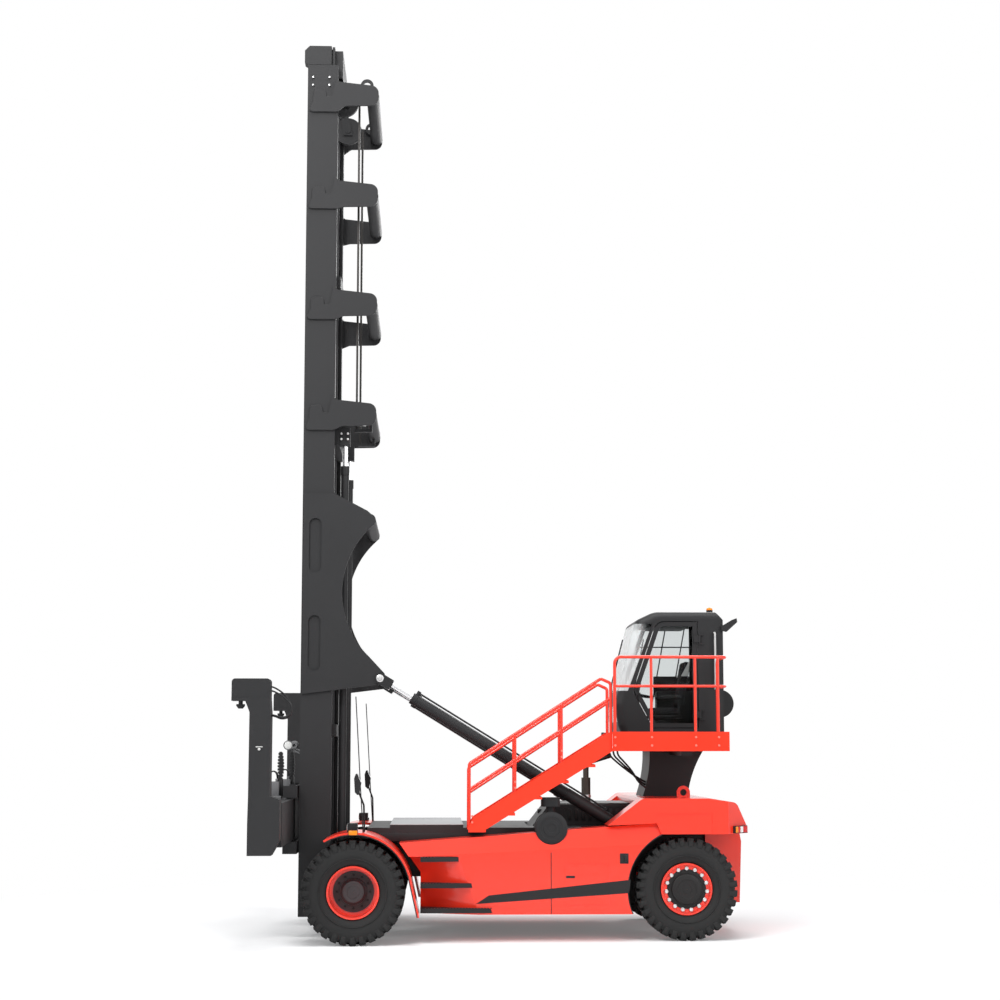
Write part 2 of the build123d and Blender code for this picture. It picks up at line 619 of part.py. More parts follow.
# Front fenders: bands bent over the twin wheels, with a straight tail down to the steps.
def fender():
    centre = (0, TYRE_RADIUS)
    arc_out = CenterArc(centre, FENDER_RADIUS, 60, 112)
    arc_in = CenterArc(centre, FENDER_RADIUS - FENDER_WALL, 60, 112)
    tail_out = (FENDER_TAIL_X - FENDER_WALL / 2, BODY_LOW)
    tail_in = (FENDER_TAIL_X + FENDER_WALL / 2, BODY_LOW)
    lines = arc_out + Line(arc_out @ 1, tail_out) + Line(tail_out, tail_in)
    lines += Line(tail_in, arc_in @ 1) + arc_in + Line(arc_in @ 0, arc_out @ 0)
    return make_face(lines)


nodes["front_fenders"] = both(side_plate(fender(), DECK_HALF, FENDER_OUT_Y))

# Boarding steps: three treads on each side, wedges that run out flush with the panel at the rear.
STEPS = [  # drop of the tread below the top one, length back from the panel's front
    (0, 500),
    (340, 740),
    (663, 1280),
]
treads = []
for drop, length in STEPS:
    top = STEP_TOP - 5 - drop
    rear = PANEL_FRONT - length
    tread = plan_column(
        [(PANEL_FRONT, DECK_HALF), (PANEL_FRONT, BODY_HALF + STEP_OUT),
         (rear + STEP_TAPER, BODY_HALF + STEP_OUT), (rear, BODY_HALF), (rear, DECK_HALF)],
        top - STEP_THICK, top)
    treads.append((tread & outside) - block(-FAR, FAR, 0, BODY_HALF, STEP_TOP, FAR))
front_of_panel = many(treads) - (block(-FAR, FAR, 0, BODY_HALF, 0, FAR) - outside)
nodes["boarding_steps"] = both(front_of_panel)

# Deck cover with its raised slab, and the engine hood.
deck = block(HOOD_FRONT, DECK_FRONT, -DECK_HALF, DECK_HALF, DECK_LOW, DECK_TOP)
deck += both(block(WEIGHT_FRONT, HOOD_FRONT, HOOD_HALF, DECK_HALF, DECK_LOW, DECK_TOP))
deck += block(SLAB_FRONT - SLAB_LENGTH, SLAB_FRONT, -DECK_HALF, DECK_HALF, DECK_TOP, DECK_TOP + SLAB_THICK)
deck -= both(block(foot_x - 140, foot_x + 560, TILT_Y - 140, STAIR_IN_Y + 60, 0, FAR))
for x0 in (cross_front, HOOD_FRONT + 350):
    deck += both(block(x0, x0 + DECK_POST, RAIL_IN_Y, RAIL_OUT_Y, RAIL_TOP, DECK_LOW))
nodes["deck_cover"] = deck
hood = side_plate([(HOOD_FRONT, DECK_LOW), (HOOD_FRONT - HOOD_SLOPE, HOOD_TOP), (WEIGHT_FRONT, HOOD_TOP),
                   (WEIGHT_FRONT, DECK_LOW)], -HOOD_HALF, HOOD_HALF)
hood = fillet(hood.edges().filter_by(Axis.X).group_by(Axis.Z)[-1], HOOD_EDGE)
hood -= side_plate(
    [(HOOD_FRONT - 2 * HOOD_WALL, DECK_LOW), (HOOD_FRONT - HOOD_SLOPE - HOOD_WALL, HOOD_TOP - HOOD_WALL),
     (WEIGHT_FRONT + HOOD_WALL, HOOD_TOP - HOOD_WALL), (WEIGHT_FRONT + HOOD_WALL, DECK_LOW)],
    HOOD_EDGE - HOOD_HALF, HOOD_HALF - HOOD_EDGE)
nodes["engine_hood"] = hood

# Air cleaner, lying across the machine in a notch of the left panel, with its intake above, and the
# exhaust stack, with a bent tailpipe.
cleaner_in = DECK_HALF + 30
cleaner_out = BODY_HALF - 25
cleaner = turned([(cleaner_in, 0), (cleaner_out, 0), (cleaner_out, CLEANER_RADIUS - CLEANER_RIM),
                  (cleaner_out - 30, CLEANER_RADIUS), (cleaner_in, CLEANER_RADIUS)], CLEANER_X, CLEANER_Z)
cleaner += block(CLEANER_X - 90, CLEANER_X + 90, DECK_HALF, cleaner_in + 60, DECK_LOW, CLEANER_Z)
intake_y = (cleaner_in + cleaner_out) / 2
cleaner += rod((CLEANER_X, intake_y, CLEANER_Z), (CLEANER_X, intake_y, INTAKE_LOW), INTAKE_RADIUS)
intake = block(CLEANER_X - 125, CLEANER_X + 125, intake_y - 110, intake_y + 110, INTAKE_LOW, INTAKE_HIGH)
cleaner += fillet(intake.edges().filter_by(Axis.Z), INTAKE_RADIUS)
nodes["air_cleaner"] = cleaner
stack = rod((STACK_X, 0, HOOD_TOP), (STACK_X, 0, STACK_HIGH), STACK_RADIUS)
tailpipe = [(STACK_X, 0, STACK_HIGH - GAP), (STACK_X, 0, STACK_HIGH + 210),
            (STACK_X - 360, 0, STACK_HIGH + 320)]
stack += bent_tube(tailpipe, 3 * TAILPIPE_RADIUS, TAILPIPE_RADIUS)
nodes["exhaust_stack"] = stack

# Outer mast: channel uprights that hang on the chassis pins.
upright = plan_column(
    [(MAST_BACK, MAST_LIP_Y), (MAST_BACK, MAST_HALF), (MAST_FRONT, MAST_HALF), (MAST_FRONT, MAST_LIP_Y),
     (MAST_FRONT - MAST_FLANGE, MAST_LIP_Y), (MAST_FRONT - MAST_FLANGE, lug_in),
     (MAST_BACK + MAST_FLANGE, lug_in), (MAST_BACK + MAST_FLANGE, MAST_LIP_Y)],
    MAST_FOOT, MAST_TOP)
lug_high = (PIVOT_X - PIVOT_BOSS, PIVOT_Z + PIVOT_BOSS)
lug_low = (PIVOT_X - PIVOT_BOSS, PIVOT_Z - PIVOT_BOSS)
lug_outline = face_of([(MAST_BACK + 20, PIVOT_Z - 220), (MAST_BACK + 20, PIVOT_Z + 220), lug_high, lug_low],
                      [(lug_high, PIVOT_BOSS - 15), (lug_low, PIVOT_BOSS - 15)])
upright += side_plate(lug_outline, lug_in, MAST_HALF)
upright -= cross_rod(PIVOT_X, PIVOT_Z, 0, FAR, PIVOT_PIN + RUN)
nodes["outer_upright_left"] = upright
nodes["outer_upright_right"] = mirrored(upright)


# Arm plates on the uprights' outer faces: a rounded tip that takes a cross tube, and at the root a
# tongue beside a notch, which lengthen the weld.
def arm_outline(low, high, tip_low, tip_high):
    tongue_front = ARM_FRONT - TONGUE_SET
    tongue_back = tongue_front - TONGUE_WIDTH
    tongue = high - TONGUE_DROP
    points = [
        (ARM_FRONT, low), (tongue_front, low + 160), (tongue_front, tongue), (tongue_back, tongue),
        (tongue_back - GAP, tongue - NOTCH_DEEP), (tongue_back - GAP - NOTCH_WIDE, tongue - NOTCH_DEEP),
        (MAST_BACK + 30, high + 40), (MAST_BACK, high + 40), (MAST_BACK, tip_high + ARM_RISE),
        (ARM_TIP_X, tip_high), (ARM_TIP_X, tip_low), (MAST_BACK - 105, tip_low - 12), (MAST_BACK + 10, low),
    ]
    sizes = [40, 60, TONGUE_ROUND, TONGUE_ROUND, 25, 25, 0, 0, 40, ARM_TIP_ROUND, ARM_TIP_ROUND, 70, 70]
    return face_of(points, [(point, size) for point, size in zip(points, sizes) if size])


ARMS = [  # root low, root high, tip low and tip high, all measured down from the mast's top
    (695, 255, 595, 315),
    (2105, 1675, 2065, 1755),
    (3695, 3265, 3635, 3330),
    (5265, 4805, 5195, 4895),
]
plates = []
tube_heights = []
for drops in ARMS:
    low, high, tip_low, tip_high = (MAST_TOP - drop for drop in drops)
    plates.append(side_plate(arm_outline(low, high, tip_low, tip_high), MAST_HALF, MAST_HALF + ARM_PLATE))
    tube_heights.append((tip_low + tip_high) / 2)
waist_top = (-130, BIG_TIP - 127)
waist_low = (-150, TILT_EYE[1] + 295)
waist = (230, (BIG_TIP + TILT_EYE[1]) / 2 + 100)
big_lines = Polyline((ARM_FRONT, PLATE_LOW), (ARM_FRONT, PLATE_TOP), (MAST_BACK, PLATE_TOP),
                     (-110, BIG_TIP + 128), (ARM_TIP_X, BIG_TIP + 30), (ARM_TIP_X, BIG_TIP - 40), waist_top)
big_lines += ThreePointArc(waist_top, waist, waist_low)
big_lines += Polyline(waist_low, (TILT_EYE[0] - 60, TILT_EYE[1] + 70), (TILT_EYE[0] - 80, TILT_EYE[1]),
                      (TILT_EYE[0] - 30, TILT_EYE[1] - 80), (ARM_FRONT, PLATE_LOW))
big_plate = side_plate(make_face(big_lines), MAST_HALF, MAST_HALF + ARM_PLATE)
big_plate -= cross_rod(*TILT_EYE, 0, FAR, TILT_PIN + TILT_PIN_PLAY)
for slot_low, slot_high in ((PLATE_LOW + 320, PLATE_LOW + 1080), (PLATE_TOP - 1105, PLATE_TOP - 350)):
    slot = Rot(0, 0, 90) * SlotOverall(slot_high - slot_low, SLOT_WIDTH)
    slot = Pos(SLOT_X, (slot_low + slot_high) / 2) * slot
    big_plate -= side_plate(slot, MAST_HALF - GAP, MAST_HALF + ARM_PLATE + GAP)
plates.append(big_plate)
tube_heights.append(BIG_TIP)
hook = cross_rod(HOOK_X, MAST_TOP - HOOK_DROP, MAST_HALF - ARM_PLATE, MAST_HALF, HOOK_RADIUS)
hook -= cross_rod(HOOK_X, MAST_TOP - HOOK_DROP, 0, FAR, HOOK_HOLE)
hook -= cross_rod(TUBE_X, tube_heights[0], 0, FAR, TUBE_RADIUS + GAP)
arm_plates = many(plates) + hook
nodes["arm_plates_left"] = arm_plates
nodes["arm_plates_right"] = mirrored(arm_plates)

# Cross tubes between the arm tips; the lowest short arm's tube holds the anchors of the rear chains.
tubes = many([cross_rod(TUBE_X, z, -MAST_HALF, MAST_HALF, TUBE_RADIUS) for z in tube_heights])
front_x = SHEAVE_X + SHEAVE_RADIUS
rear_x = SHEAVE_X - SHEAVE_RADIUS
anchor_top = tube_heights[3] - ANCHOR_DROP
anchor_low = anchor_top - ANCHOR_PLATE
anchor = block(TUBE_X, rear_x + 30, SHEAVE_Y - 40, SHEAVE_Y + 40, anchor_low, anchor_top)
anchor += block(TUBE_X - 20, TUBE_X + 20, SHEAVE_Y - 40, SHEAVE_Y + 40,
                anchor_low, tube_heights[3] - TUBE_RADIUS)
nodes["cross_tubes"] = tubes + both(anchor)

# Mast foot with the lift cylinders standing on it.
barrel_low = MAST_FOOT + FOOT_PLATE
barrel_foot = (LIFT_X, LIFT_Y, barrel_low)
barrel_head = (LIFT_X, LIFT_Y, LIFT_BARREL_TOP)
foot_beam = block(MEMBER_BACK, MAST_BACK + MAST_FLANGE, -MAST_LIP_Y, MAST_LIP_Y, MAST_FOOT, FOOT_HIGH)
foot_beam += both(block(LIFT_X - 90, MAST_BACK, LIFT_Y - 90, MAST_LIP_Y, MAST_FOOT, barrel_low))
barrel = rod(barrel_foot, barrel_head, LIFT_BARREL)
barrel += rod((LIFT_X, LIFT_Y, LIFT_BARREL_TOP - 120), barrel_head, LIFT_BARREL + 8)
barrel -= rod((LIFT_X, LIFT_Y, barrel_low + 100), (LIFT_X, LIFT_Y, LIFT_BARREL_TOP + GAP), LIFT_ROD + RUN)
nodes["lift_barrels"] = foot_beam + both(barrel)

# Inner mast: beam uprights inside the channels, each with a head block, and wear pads at the foot.
inner = plan_column(
    [(INNER_BACK, INNER_IN_Y), (INNER_BACK, INNER_OUT_Y), (INNER_BACK + INNER_FLANGE, INNER_OUT_Y),
     (INNER_BACK + INNER_FLANGE, INNER_WEB_Y + INNER_WEB),
     (INNER_FRONT - INNER_FLANGE, INNER_WEB_Y + INNER_WEB), (INNER_FRONT - INNER_FLANGE, INNER_OUT_Y),
     (INNER_FRONT, INNER_OUT_Y), (INNER_FRONT, INNER_IN_Y),
     (INNER_FRONT - INNER_FLANGE, INNER_IN_Y), (INNER_FRONT - INNER_FLANGE, INNER_WEB_Y),
     (INNER_BACK + INNER_FLANGE, INNER_WEB_Y), (INNER_BACK + INNER_FLANGE, INNER_IN_Y)],
    INNER_FOOT, INNER_TOP)
inner += side_plate([(HEAD_BACK, MAST_TOP + GAP), (HEAD_BACK, INNER_TOP), (HEAD_FRONT - HEAD_CUT, INNER_TOP),
                     (HEAD_FRONT, INNER_TOP - HEAD_CUT), (HEAD_FRONT, MAST_TOP + 4 * GAP),
                     (MAST_FRONT, MAST_TOP + GAP)], INNER_WEB_Y, MAST_HALF - 15)
pad_in = INNER_OUT_Y - 70
for x0, x1 in ((MAST_BACK + MAST_FLANGE + RUN, INNER_BACK), (INNER_FRONT, MAST_FRONT - MAST_FLANGE - RUN)):
    inner += block(x0, x1, pad_in, INNER_OUT_Y - GAP, PAD_LOW, PAD_LOW + PAD_HEIGHT)
nodes["inner_upright_left"] = inner
nodes["inner_upright_right"] = mirrored(inner)

# Cross members of the inner mast, the beam that the lift rods push, and the chain sheaves.
INNER_MEMBERS = [  # z low, z high
    (INNER_FOOT + 320, INNER_FOOT + 520),
    (INNER_FOOT + 2380, INNER_FOOT + 2540),
    (INNER_FOOT + 4380, INNER_FOOT + 4540),
    (LIFT_BEAM_LOW, LIFT_BEAM_HIGH),
    (HEAD_LOW - 3060, HEAD_LOW - 2900),
    (HEAD_LOW, INNER_TOP - 20),
]
members = []
for low, high in INNER_MEMBERS:
    members.append(block(MEMBER_BACK, INNER_BACK, -MEMBER_HALF, MEMBER_HALF, low, high))
members.append(both(block(LIFT_X - 70, MEMBER_BACK, LIFT_Y - 70, LIFT_Y + 70, LIFT_BEAM_LOW, LIFT_BEAM_HIGH)))
nodes["lift_rods"] = both(rod((LIFT_X, LIFT_Y, barrel_low + 250), (LIFT_X, LIFT_Y, LIFT_BEAM_LOW), LIFT_ROD))
sheave_in = SHEAVE_Y - SHEAVE_WIDTH / 2
sheave_out = SHEAVE_Y + SHEAVE_WIDTH / 2
sheave = cross_rod(SHEAVE_X, SHEAVE_Z, sheave_in, sheave_out, SHEAVE_RADIUS - CHAIN_THICK / 2)
cheek_outline = [(SHEAVE_X - 70, SHEAVE_Z - 70), (SHEAVE_X + 70, SHEAVE_Z - 70), (INNER_BACK, HEAD_LOW),
                 (MEMBER_BACK, HEAD_LOW)]
for y0 in (sheave_in - SHEAVE_CHEEK - 5, sheave_out + 5):
    sheave += side_plate(cheek_outline, y0, y0 + SHEAVE_CHEEK)
sheave += cross_rod(SHEAVE_X, SHEAVE_Z, sheave_in - 30, sheave_out + 30, SHEAVE_PIN)
nodes["inner_members"] = many(members) + both(sheave)


# Lift chains: a front strand down to the carriage and a rear strand down to the anchors.
def strand(x, low):
    half_t, half_w = CHAIN_THICK / 2, CHAIN_WIDTH / 2
    return block(x - half_t, x + half_t, SHEAVE_Y - half_w, SHEAVE_Y + half_w, low, SHEAVE_Z)


nodes["chain_front"] = both(strand(front_x, CARRIAGE_HIGH - 60))
nodes["chain_rear"] = both(strand(rear_x, anchor_top))

# Carriage: side plates with rollers in the inner mast, cross bars, and two side-shift shafts.
ROLLER_RADIUS = (INNER_FRONT - INNER_BACK) / 2 - INNER_FLANGE - RUN
ROLLER_X = (INNER_FRONT + INNER_BACK) / 2
plate_out = CARRIAGE_Y + CARRIAGE_PLATE
carriage = block(INNER_BACK + 40, CARRIAGE_FRONT, CARRIAGE_Y, plate_out, CARRIAGE_LOW, CARRIAGE_HIGH)
for z in (CARRIAGE_LOW + 200, CARRIAGE_HIGH - 200):
    carriage += cross_rod(ROLLER_X, z, INNER_IN_Y + 15, INNER_WEB_Y - 5, ROLLER_RADIUS)
    carriage += cross_rod(ROLLER_X, z, CARRIAGE_Y, INNER_WEB_Y - GAP, 60)
carriage += block(front_x - 40, front_x + 40, plate_out, SHEAVE_Y + 40,
                  CARRIAGE_HIGH - 120, CARRIAGE_HIGH - 60)
carriage = both(carriage)
CARRIAGE_BARS = [  # z low, z high
    (CARRIAGE_HIGH - 260, CARRIAGE_HIGH - 60),
    (FRAME_HIGH, FRAME_HIGH + 200),
    (CARRIAGE_LOW, CARRIAGE_LOW + 160),
]
for low, high in CARRIAGE_BARS:
    carriage += block(CARRIAGE_FRONT - CARRIAGE_BAR, CARRIAGE_FRONT, -CARRIAGE_Y, CARRIAGE_Y, low, high)
SHAFTS = [  # z of the shaft, z low and z high of its brackets, the frame's face beside it
    (FRAME_HIGH + SLEEVE_RADIUS + 40, FRAME_HIGH + 20, FRAME_HIGH + 180, FRAME_HIGH),
    (FRAME_LOW - SLEEVE_RADIUS - 40, FRAME_LOW - 180, FRAME_LOW - 20, FRAME_LOW),
]
support_out = SHAFT_SUPPORT_Y + SUPPORT_PLATE
for shaft_z, low, high, _ in SHAFTS:
    carriage += block(CARRIAGE_FRONT, CARRIAGE_FRONT + FRONT_PLATE, -support_out, support_out, low, high)
    for y0 in (-support_out, -SUPPORT_PLATE / 2, SHAFT_SUPPORT_Y):
        carriage += block(CARRIAGE_FRONT, SHAFT_X + 60, y0, y0 + SUPPORT_PLATE, low, high)
    carriage += rod((SHAFT_X, -SHAFT_SUPPORT_Y, shaft_z), (SHAFT_X, SHAFT_SUPPORT_Y, shaft_z), SHAFT_RADIUS)
nodes["carriage"] = carriage

# Spreader frame: a four-cell box that carries the telescopic beams, with sleeves on the shafts.
mid_x = (FRAME_BACK + FRAME_FRONT) / 2
mid_z = (FRAME_LOW + FRAME_HIGH) / 2
half_wall = FRAME_WALL / 2
CELLS = {  # x from, x to, z low, z high of each cell
    "front_high": (mid_x + half_wall, FRAME_FRONT - FRAME_WALL, mid_z + half_wall, FRAME_HIGH - FRAME_WALL),
    "rear_high": (FRAME_BACK + FRAME_WALL, mid_x - half_wall, mid_z + half_wall, FRAME_HIGH - FRAME_WALL),
    "front_low": (mid_x + half_wall, FRAME_FRONT - FRAME_WALL, FRAME_LOW + FRAME_WALL, mid_z - half_wall),
    "rear_low": (FRAME_BACK + FRAME_WALL, mid_x - half_wall, FRAME_LOW + FRAME_WALL, mid_z - half_wall),
}
spreader = block(FRAME_BACK, FRAME_FRONT, -FRAME_HALF, FRAME_HALF, FRAME_LOW, FRAME_HIGH)
for x0, x1, z0, z1 in CELLS.values():
    spreader -= block(x0, x1, -FRAME_HALF - GAP, FRAME_HALF + GAP, z0, z1)
for shaft_z, _, _, near in SHAFTS:
    for y in (-SLEEVE_Y, SLEEVE_Y):
        sleeve_in, sleeve_out = y - SLEEVE_LENGTH / 2, y + SLEEVE_LENGTH / 2
        sleeve = rod((SHAFT_X, sleeve_in, shaft_z), (SHAFT_X, sleeve_out, shaft_z), SLEEVE_RADIUS)
        sleeve += block(SHAFT_X - 50, SHAFT_X + 50, sleeve_in, sleeve_out,
                        min(near, shaft_z), max(near, shaft_z))
        spreader += sleeve - rod((SHAFT_X, sleeve_in - GAP, shaft_z), (SHAFT_X, sleeve_out + GAP, shaft_z),
                                 SHAFT_RADIUS + RUN)
nodes["spreader_frame"] = spreader


# Telescopes: two beams, an end post and a corner box with its twistlock, on each side.
def telescope(cells):
    end = many([])
    for name in cells:
        x0, x1, z0, z1 = CELLS[name]
        beam = block(x0 + RUN, x1 - RUN, POST_IN_Y - BEAM_LENGTH, POST_IN_Y, z0 + RUN, z1 - RUN)
        end += beam - block(x0 + BEAM_WALL, x1 - BEAM_WALL, POST_IN_Y - BEAM_LENGTH - GAP,
                            POST_IN_Y - BEAM_WALL, z0 + BEAM_WALL, z1 - BEAM_WALL)
    post = [(FRAME_BACK + 107, FRAME_LOW - 88), (POST_FRONT, FRAME_LOW - 88), (POST_FRONT, FRAME_HIGH - 256),
            (POST_FRONT - 6, FRAME_HIGH + 70), (POST_FRONT - 9, BOX_LOW - 142), (POST_FRONT + 46, BOX_LOW),
            (BOX_BACK, BOX_LOW), (POST_BACK, BOX_LOW - 142), (POST_BACK, FRAME_HIGH + 90),
            (FRAME_BACK + 7, FRAME_HIGH + 50), (FRAME_BACK + 7, FRAME_LOW + 90)]
    end += side_plate(post, POST_IN_Y, POST_OUT_Y)
    end += block(BOX_BACK, FRONT_REACH, POST_IN_Y + 20, POST_OUT_Y, BOX_LOW, BOX_LOW + BOX_SILL)
    top_corners = [(BOX_BACK, BOX_HIGH), (FRONT_REACH, BOX_HIGH)]
    box = face_of([(BOX_BACK, BOX_LOW), *top_corners, (FRONT_REACH, BOX_LOW)],
                  [(corner, BOX_ROUND) for corner in top_corners])
    end += side_plate(box, POST_IN_Y + 20 + BOX_LIP, POST_OUT_Y - BOX_LIP)
    return end - rod((LOCK_X, LOCK_Y, BOX_LOW - GAP), (LOCK_X, LOCK_Y, BOX_HIGH - 60), LOCK_SHAFT + RUN)


nodes["telescope_left"] = telescope(("front_high", "rear_low"))
nodes["telescope_right"] = mirrored(telescope(("rear_high", "front_low")))
lock = rod((LOCK_X, LOCK_Y, BOX_LOW - 60), (LOCK_X, LOCK_Y, BOX_HIGH - 70), LOCK_SHAFT)
lock_head = [(LOCK_X - LOCK_HALF, BOX_LOW - 62), (LOCK_X - LOCK_HALF, BOX_LOW - 40),
             (LOCK_X + LOCK_HALF, BOX_LOW - 40), (LOCK_X + LOCK_HALF, BOX_LOW - 62),
             (LOCK_X + LOCK_HALF / 2, BOX_LOW - 96), (LOCK_X - LOCK_HALF / 2, BOX_LOW - 96)]
lock += side_plate(lock_head, LOCK_Y - LOCK_SHAFT, LOCK_Y + LOCK_SHAFT)
nodes["twistlock_left"] = lock
nodes["twistlock_right"] = mirrored(lock)

# Tilt cylinders: barrels on the chassis lugs, rods that fork over the ears of the mast plates.
tilt_dx = TILT_EYE[0] - TILT_FOOT[0]
tilt_dz = TILT_EYE[1] - TILT_FOOT[1]
tilt_length = hypot(tilt_dx, tilt_dz)


def along(distance, rise=0):
    """The point on the tilt cylinder's axis at a distance from its foot pin, or above the axis."""
    step_x, step_z = tilt_dx / tilt_length, tilt_dz / tilt_length
    return (foot_x + step_x * distance - step_z * rise, TILT_Y, foot_z + step_z * distance + step_x * rise)


gland = tilt_length - TILT_GLAND
tilt_barrel = rod(along(60), along(gland), TILT_BARREL)
tilt_barrel += rod(along(60), along(60 + TILT_BASE_LENGTH), TILT_BASE)
tilt_barrel += rod(along(gland - 70), along(gland), TILT_COLLAR)
pipe_rise = TILT_BASE + TILT_PIPE + GAP
tilt_barrel += rod(along(300, pipe_rise), along(gland - 35, pipe_rise), TILT_PIPE)
for distance in (300 + TILT_PIPE, gland - 35 - TILT_PIPE):
    tilt_barrel += rod(along(distance), along(distance, pipe_rise + 2 * TILT_PIPE), 2 * TILT_PIPE)
tilt_barrel += cross_rod(foot_x, foot_z, TILT_Y - 80, TILT_Y + 80, TILT_BARREL)
tilt_barrel -= cross_rod(foot_x, foot_z, TILT_Y - 100, TILT_Y + 100, TILT_PIN + RUN)
tilt_barrel -= rod(along(gland - TILT_STROKE - 700), along(gland + GAP), TILT_ROD + RUN)
nodes["tilt_barrel_left"] = tilt_barrel
nodes["tilt_barrel_right"] = mirrored(tilt_barrel)
axis_plane = Plane(origin=along(tilt_length), x_dir=(tilt_dx, 0, tilt_dz), z_dir=(0, 1, 0))
yoke = Pos(-80, 0, 0) * Box(210, YOKE_HIGH, YOKE_WIDE) + Cylinder(YOKE_EYE, YOKE_WIDE)
yoke -= Pos(65, 0, 0) * Box(330, 2 * YOKE_HIGH, ARM_PLATE + 2 * GAP)
yoke += Cylinder(TILT_PIN, YOKE_WIDE)
tilt_rod = rod(along(gland - TILT_STROKE), along(tilt_length - 170), TILT_ROD) + axis_plane * yoke
nodes["tilt_rod_left"] = tilt_rod
nodes["tilt_rod_right"] = mirrored(tilt_rod)

# Cab pedestal: a waisted column on the counterweight.
column_low = WEIGHT_TOP
column_high = CAB_FLOOR - PLATFORM_PLATE
column_mid = (column_low + column_high) / 2
front_low, front_high = (STEER_X + 440, column_low), (STEER_X + 340, column_high)
rear_low, rear_high = (STEER_X - 190, column_low), (STEER_X - 410, column_high)
column_lines = ThreePointArc(front_low, (STEER_X + 362, column_mid), front_high) + Line(front_high, rear_high)
column_lines += ThreePointArc(rear_high, (STEER_X - 262, column_mid), rear_low) + Line(rear_low, front_low)
nodes["cab_pedestal"] = side_plate(make_face(column_lines), -PEDESTAL_HALF, PEDESTAL_HALF)

# Platform: a floor plate beside the cab with a toe board, on an outrigger from the pedestal.
floor = block(PLATFORM_REAR, PLATFORM_FRONT, -CAB_HALF, PLATFORM_OUT_Y, TOE_LOW, CAB_FLOOR)
floor += block(PLATFORM_REAR, PLATFORM_FRONT, PLATFORM_OUT_Y - TOE_PLATE, PLATFORM_OUT_Y, TOE_LOW, TOE_HIGH)
floor += block(PLATFORM_REAR, PLATFORM_REAR + TOE_PLATE, CAB_HALF + 60, PLATFORM_OUT_Y, TOE_LOW, TOE_HIGH)
floor += block(STEER_X - 100, STEER_X + 50, PEDESTAL_HALF, PLATFORM_OUT_Y - 160, TOE_LOW - 60, TOE_LOW)
nodes["platform"] = floor


# Handrails: bent tubes with posts bolted behind the toe board and the stringers.
def platform_rails():
    y = PLATFORM_OUT_Y - TOE_PLATE - RAIL_TUBE
    front = PLATFORM_FRONT - RAIL_SET
    rear = PLATFORM_REAR + TOE_PLATE + RAIL_TUBE
    end_y = CAB_HALF + 240
    top_route = [(front, y, CAB_FLOOR), (front, y, RAIL_HIGH), (rear, y, RAIL_HIGH), (rear, end_y, RAIL_HIGH),
                 (rear, end_y, CAB_FLOOR)]
    mid_route = [(front, y, RAIL_MID), (rear, y, RAIL_MID), (rear, end_y, RAIL_MID)]
    rails = bent_tube(top_route, RAIL_BEND, RAIL_TUBE) + bent_tube(mid_route, RAIL_BEND, RAIL_TUBE - 3)
    for x in (front - 490, front - 1080, rear + 110):
        rails += rod((x, y, CAB_FLOOR), (x, y, RAIL_HIGH), RAIL_TUBE - 2)
    return rails


nodes["platform_rails"] = platform_rails()

# Stairs: two stringers and the treads between them.
stringer_outline = [(STAIR_FOOT, DECK_TOP), (STAIR_FOOT - 90, DECK_TOP + 150),
                    (PLATFORM_FRONT + 25, TOE_HIGH), (PLATFORM_FRONT, TOE_HIGH),
                    (PLATFORM_FRONT, TOE_LOW), (STAIR_FOOT - 260, DECK_TOP)]
stairs = side_plate(stringer_outline, STAIR_OUT_Y - STRINGER, STAIR_OUT_Y)
stairs += side_plate(stringer_outline, STAIR_IN_Y, STAIR_IN_Y + STRINGER)
for i in range(1, TREADS):
    share = i / TREADS
    x = STAIR_FOOT - 150 + (PLATFORM_FRONT - STAIR_FOOT + 150) * share
    z = DECK_TOP + (CAB_FLOOR - DECK_TOP) * share
    stairs += block(x - TREAD_HALF, x + TREAD_HALF, STAIR_IN_Y, STAIR_OUT_Y, z - TREAD_PLATE, z)
stairs += block(STAIR_FOOT - 250, STAIR_FOOT - 20, DECK_HALF, STAIR_OUT_Y, DECK_TOP - 40, DECK_TOP)
nodes["access_stairs"] = stairs


def stair_rail(y, drop):
    foot = (STAIR_FOOT - 30, DECK_TOP + STAIR_RAIL_RISE - drop)
    head = (PLATFORM_FRONT + 145, TOE_HIGH + STAIR_RAIL_HEAD - 13 - drop)
    end = (head[0] - 130, head[1] - 60)
    path = [(foot[0], y, DECK_TOP), (foot[0], y, foot[1]), (head[0], y, head[1]), (end[0], y, end[1]),
            (end[0], y, TOE_LOW + 65)]
    rails = bent_tube(path, 45, RAIL_TUBE)
    slope = (head[1] - foot[1]) / (head[0] - foot[0])
    mid_end = foot[1] - 340 + slope * (end[0] - foot[0])
    rails += rod((foot[0], y, foot[1] - 340), (end[0], y, mid_end), RAIL_TUBE - 3)
    for back in (610, 1230):
        top = foot[1] - slope * back
        rails += rod((foot[0] - back, y, top - 800), (foot[0] - back, y, top), RAIL_TUBE - 3)
    return rails


rail_inset = STRINGER + RAIL_TUBE
nodes["stair_rails"] = stair_rail(STAIR_OUT_Y - rail_inset, 0) + stair_rail(STAIR_IN_Y + rail_inset, 60)

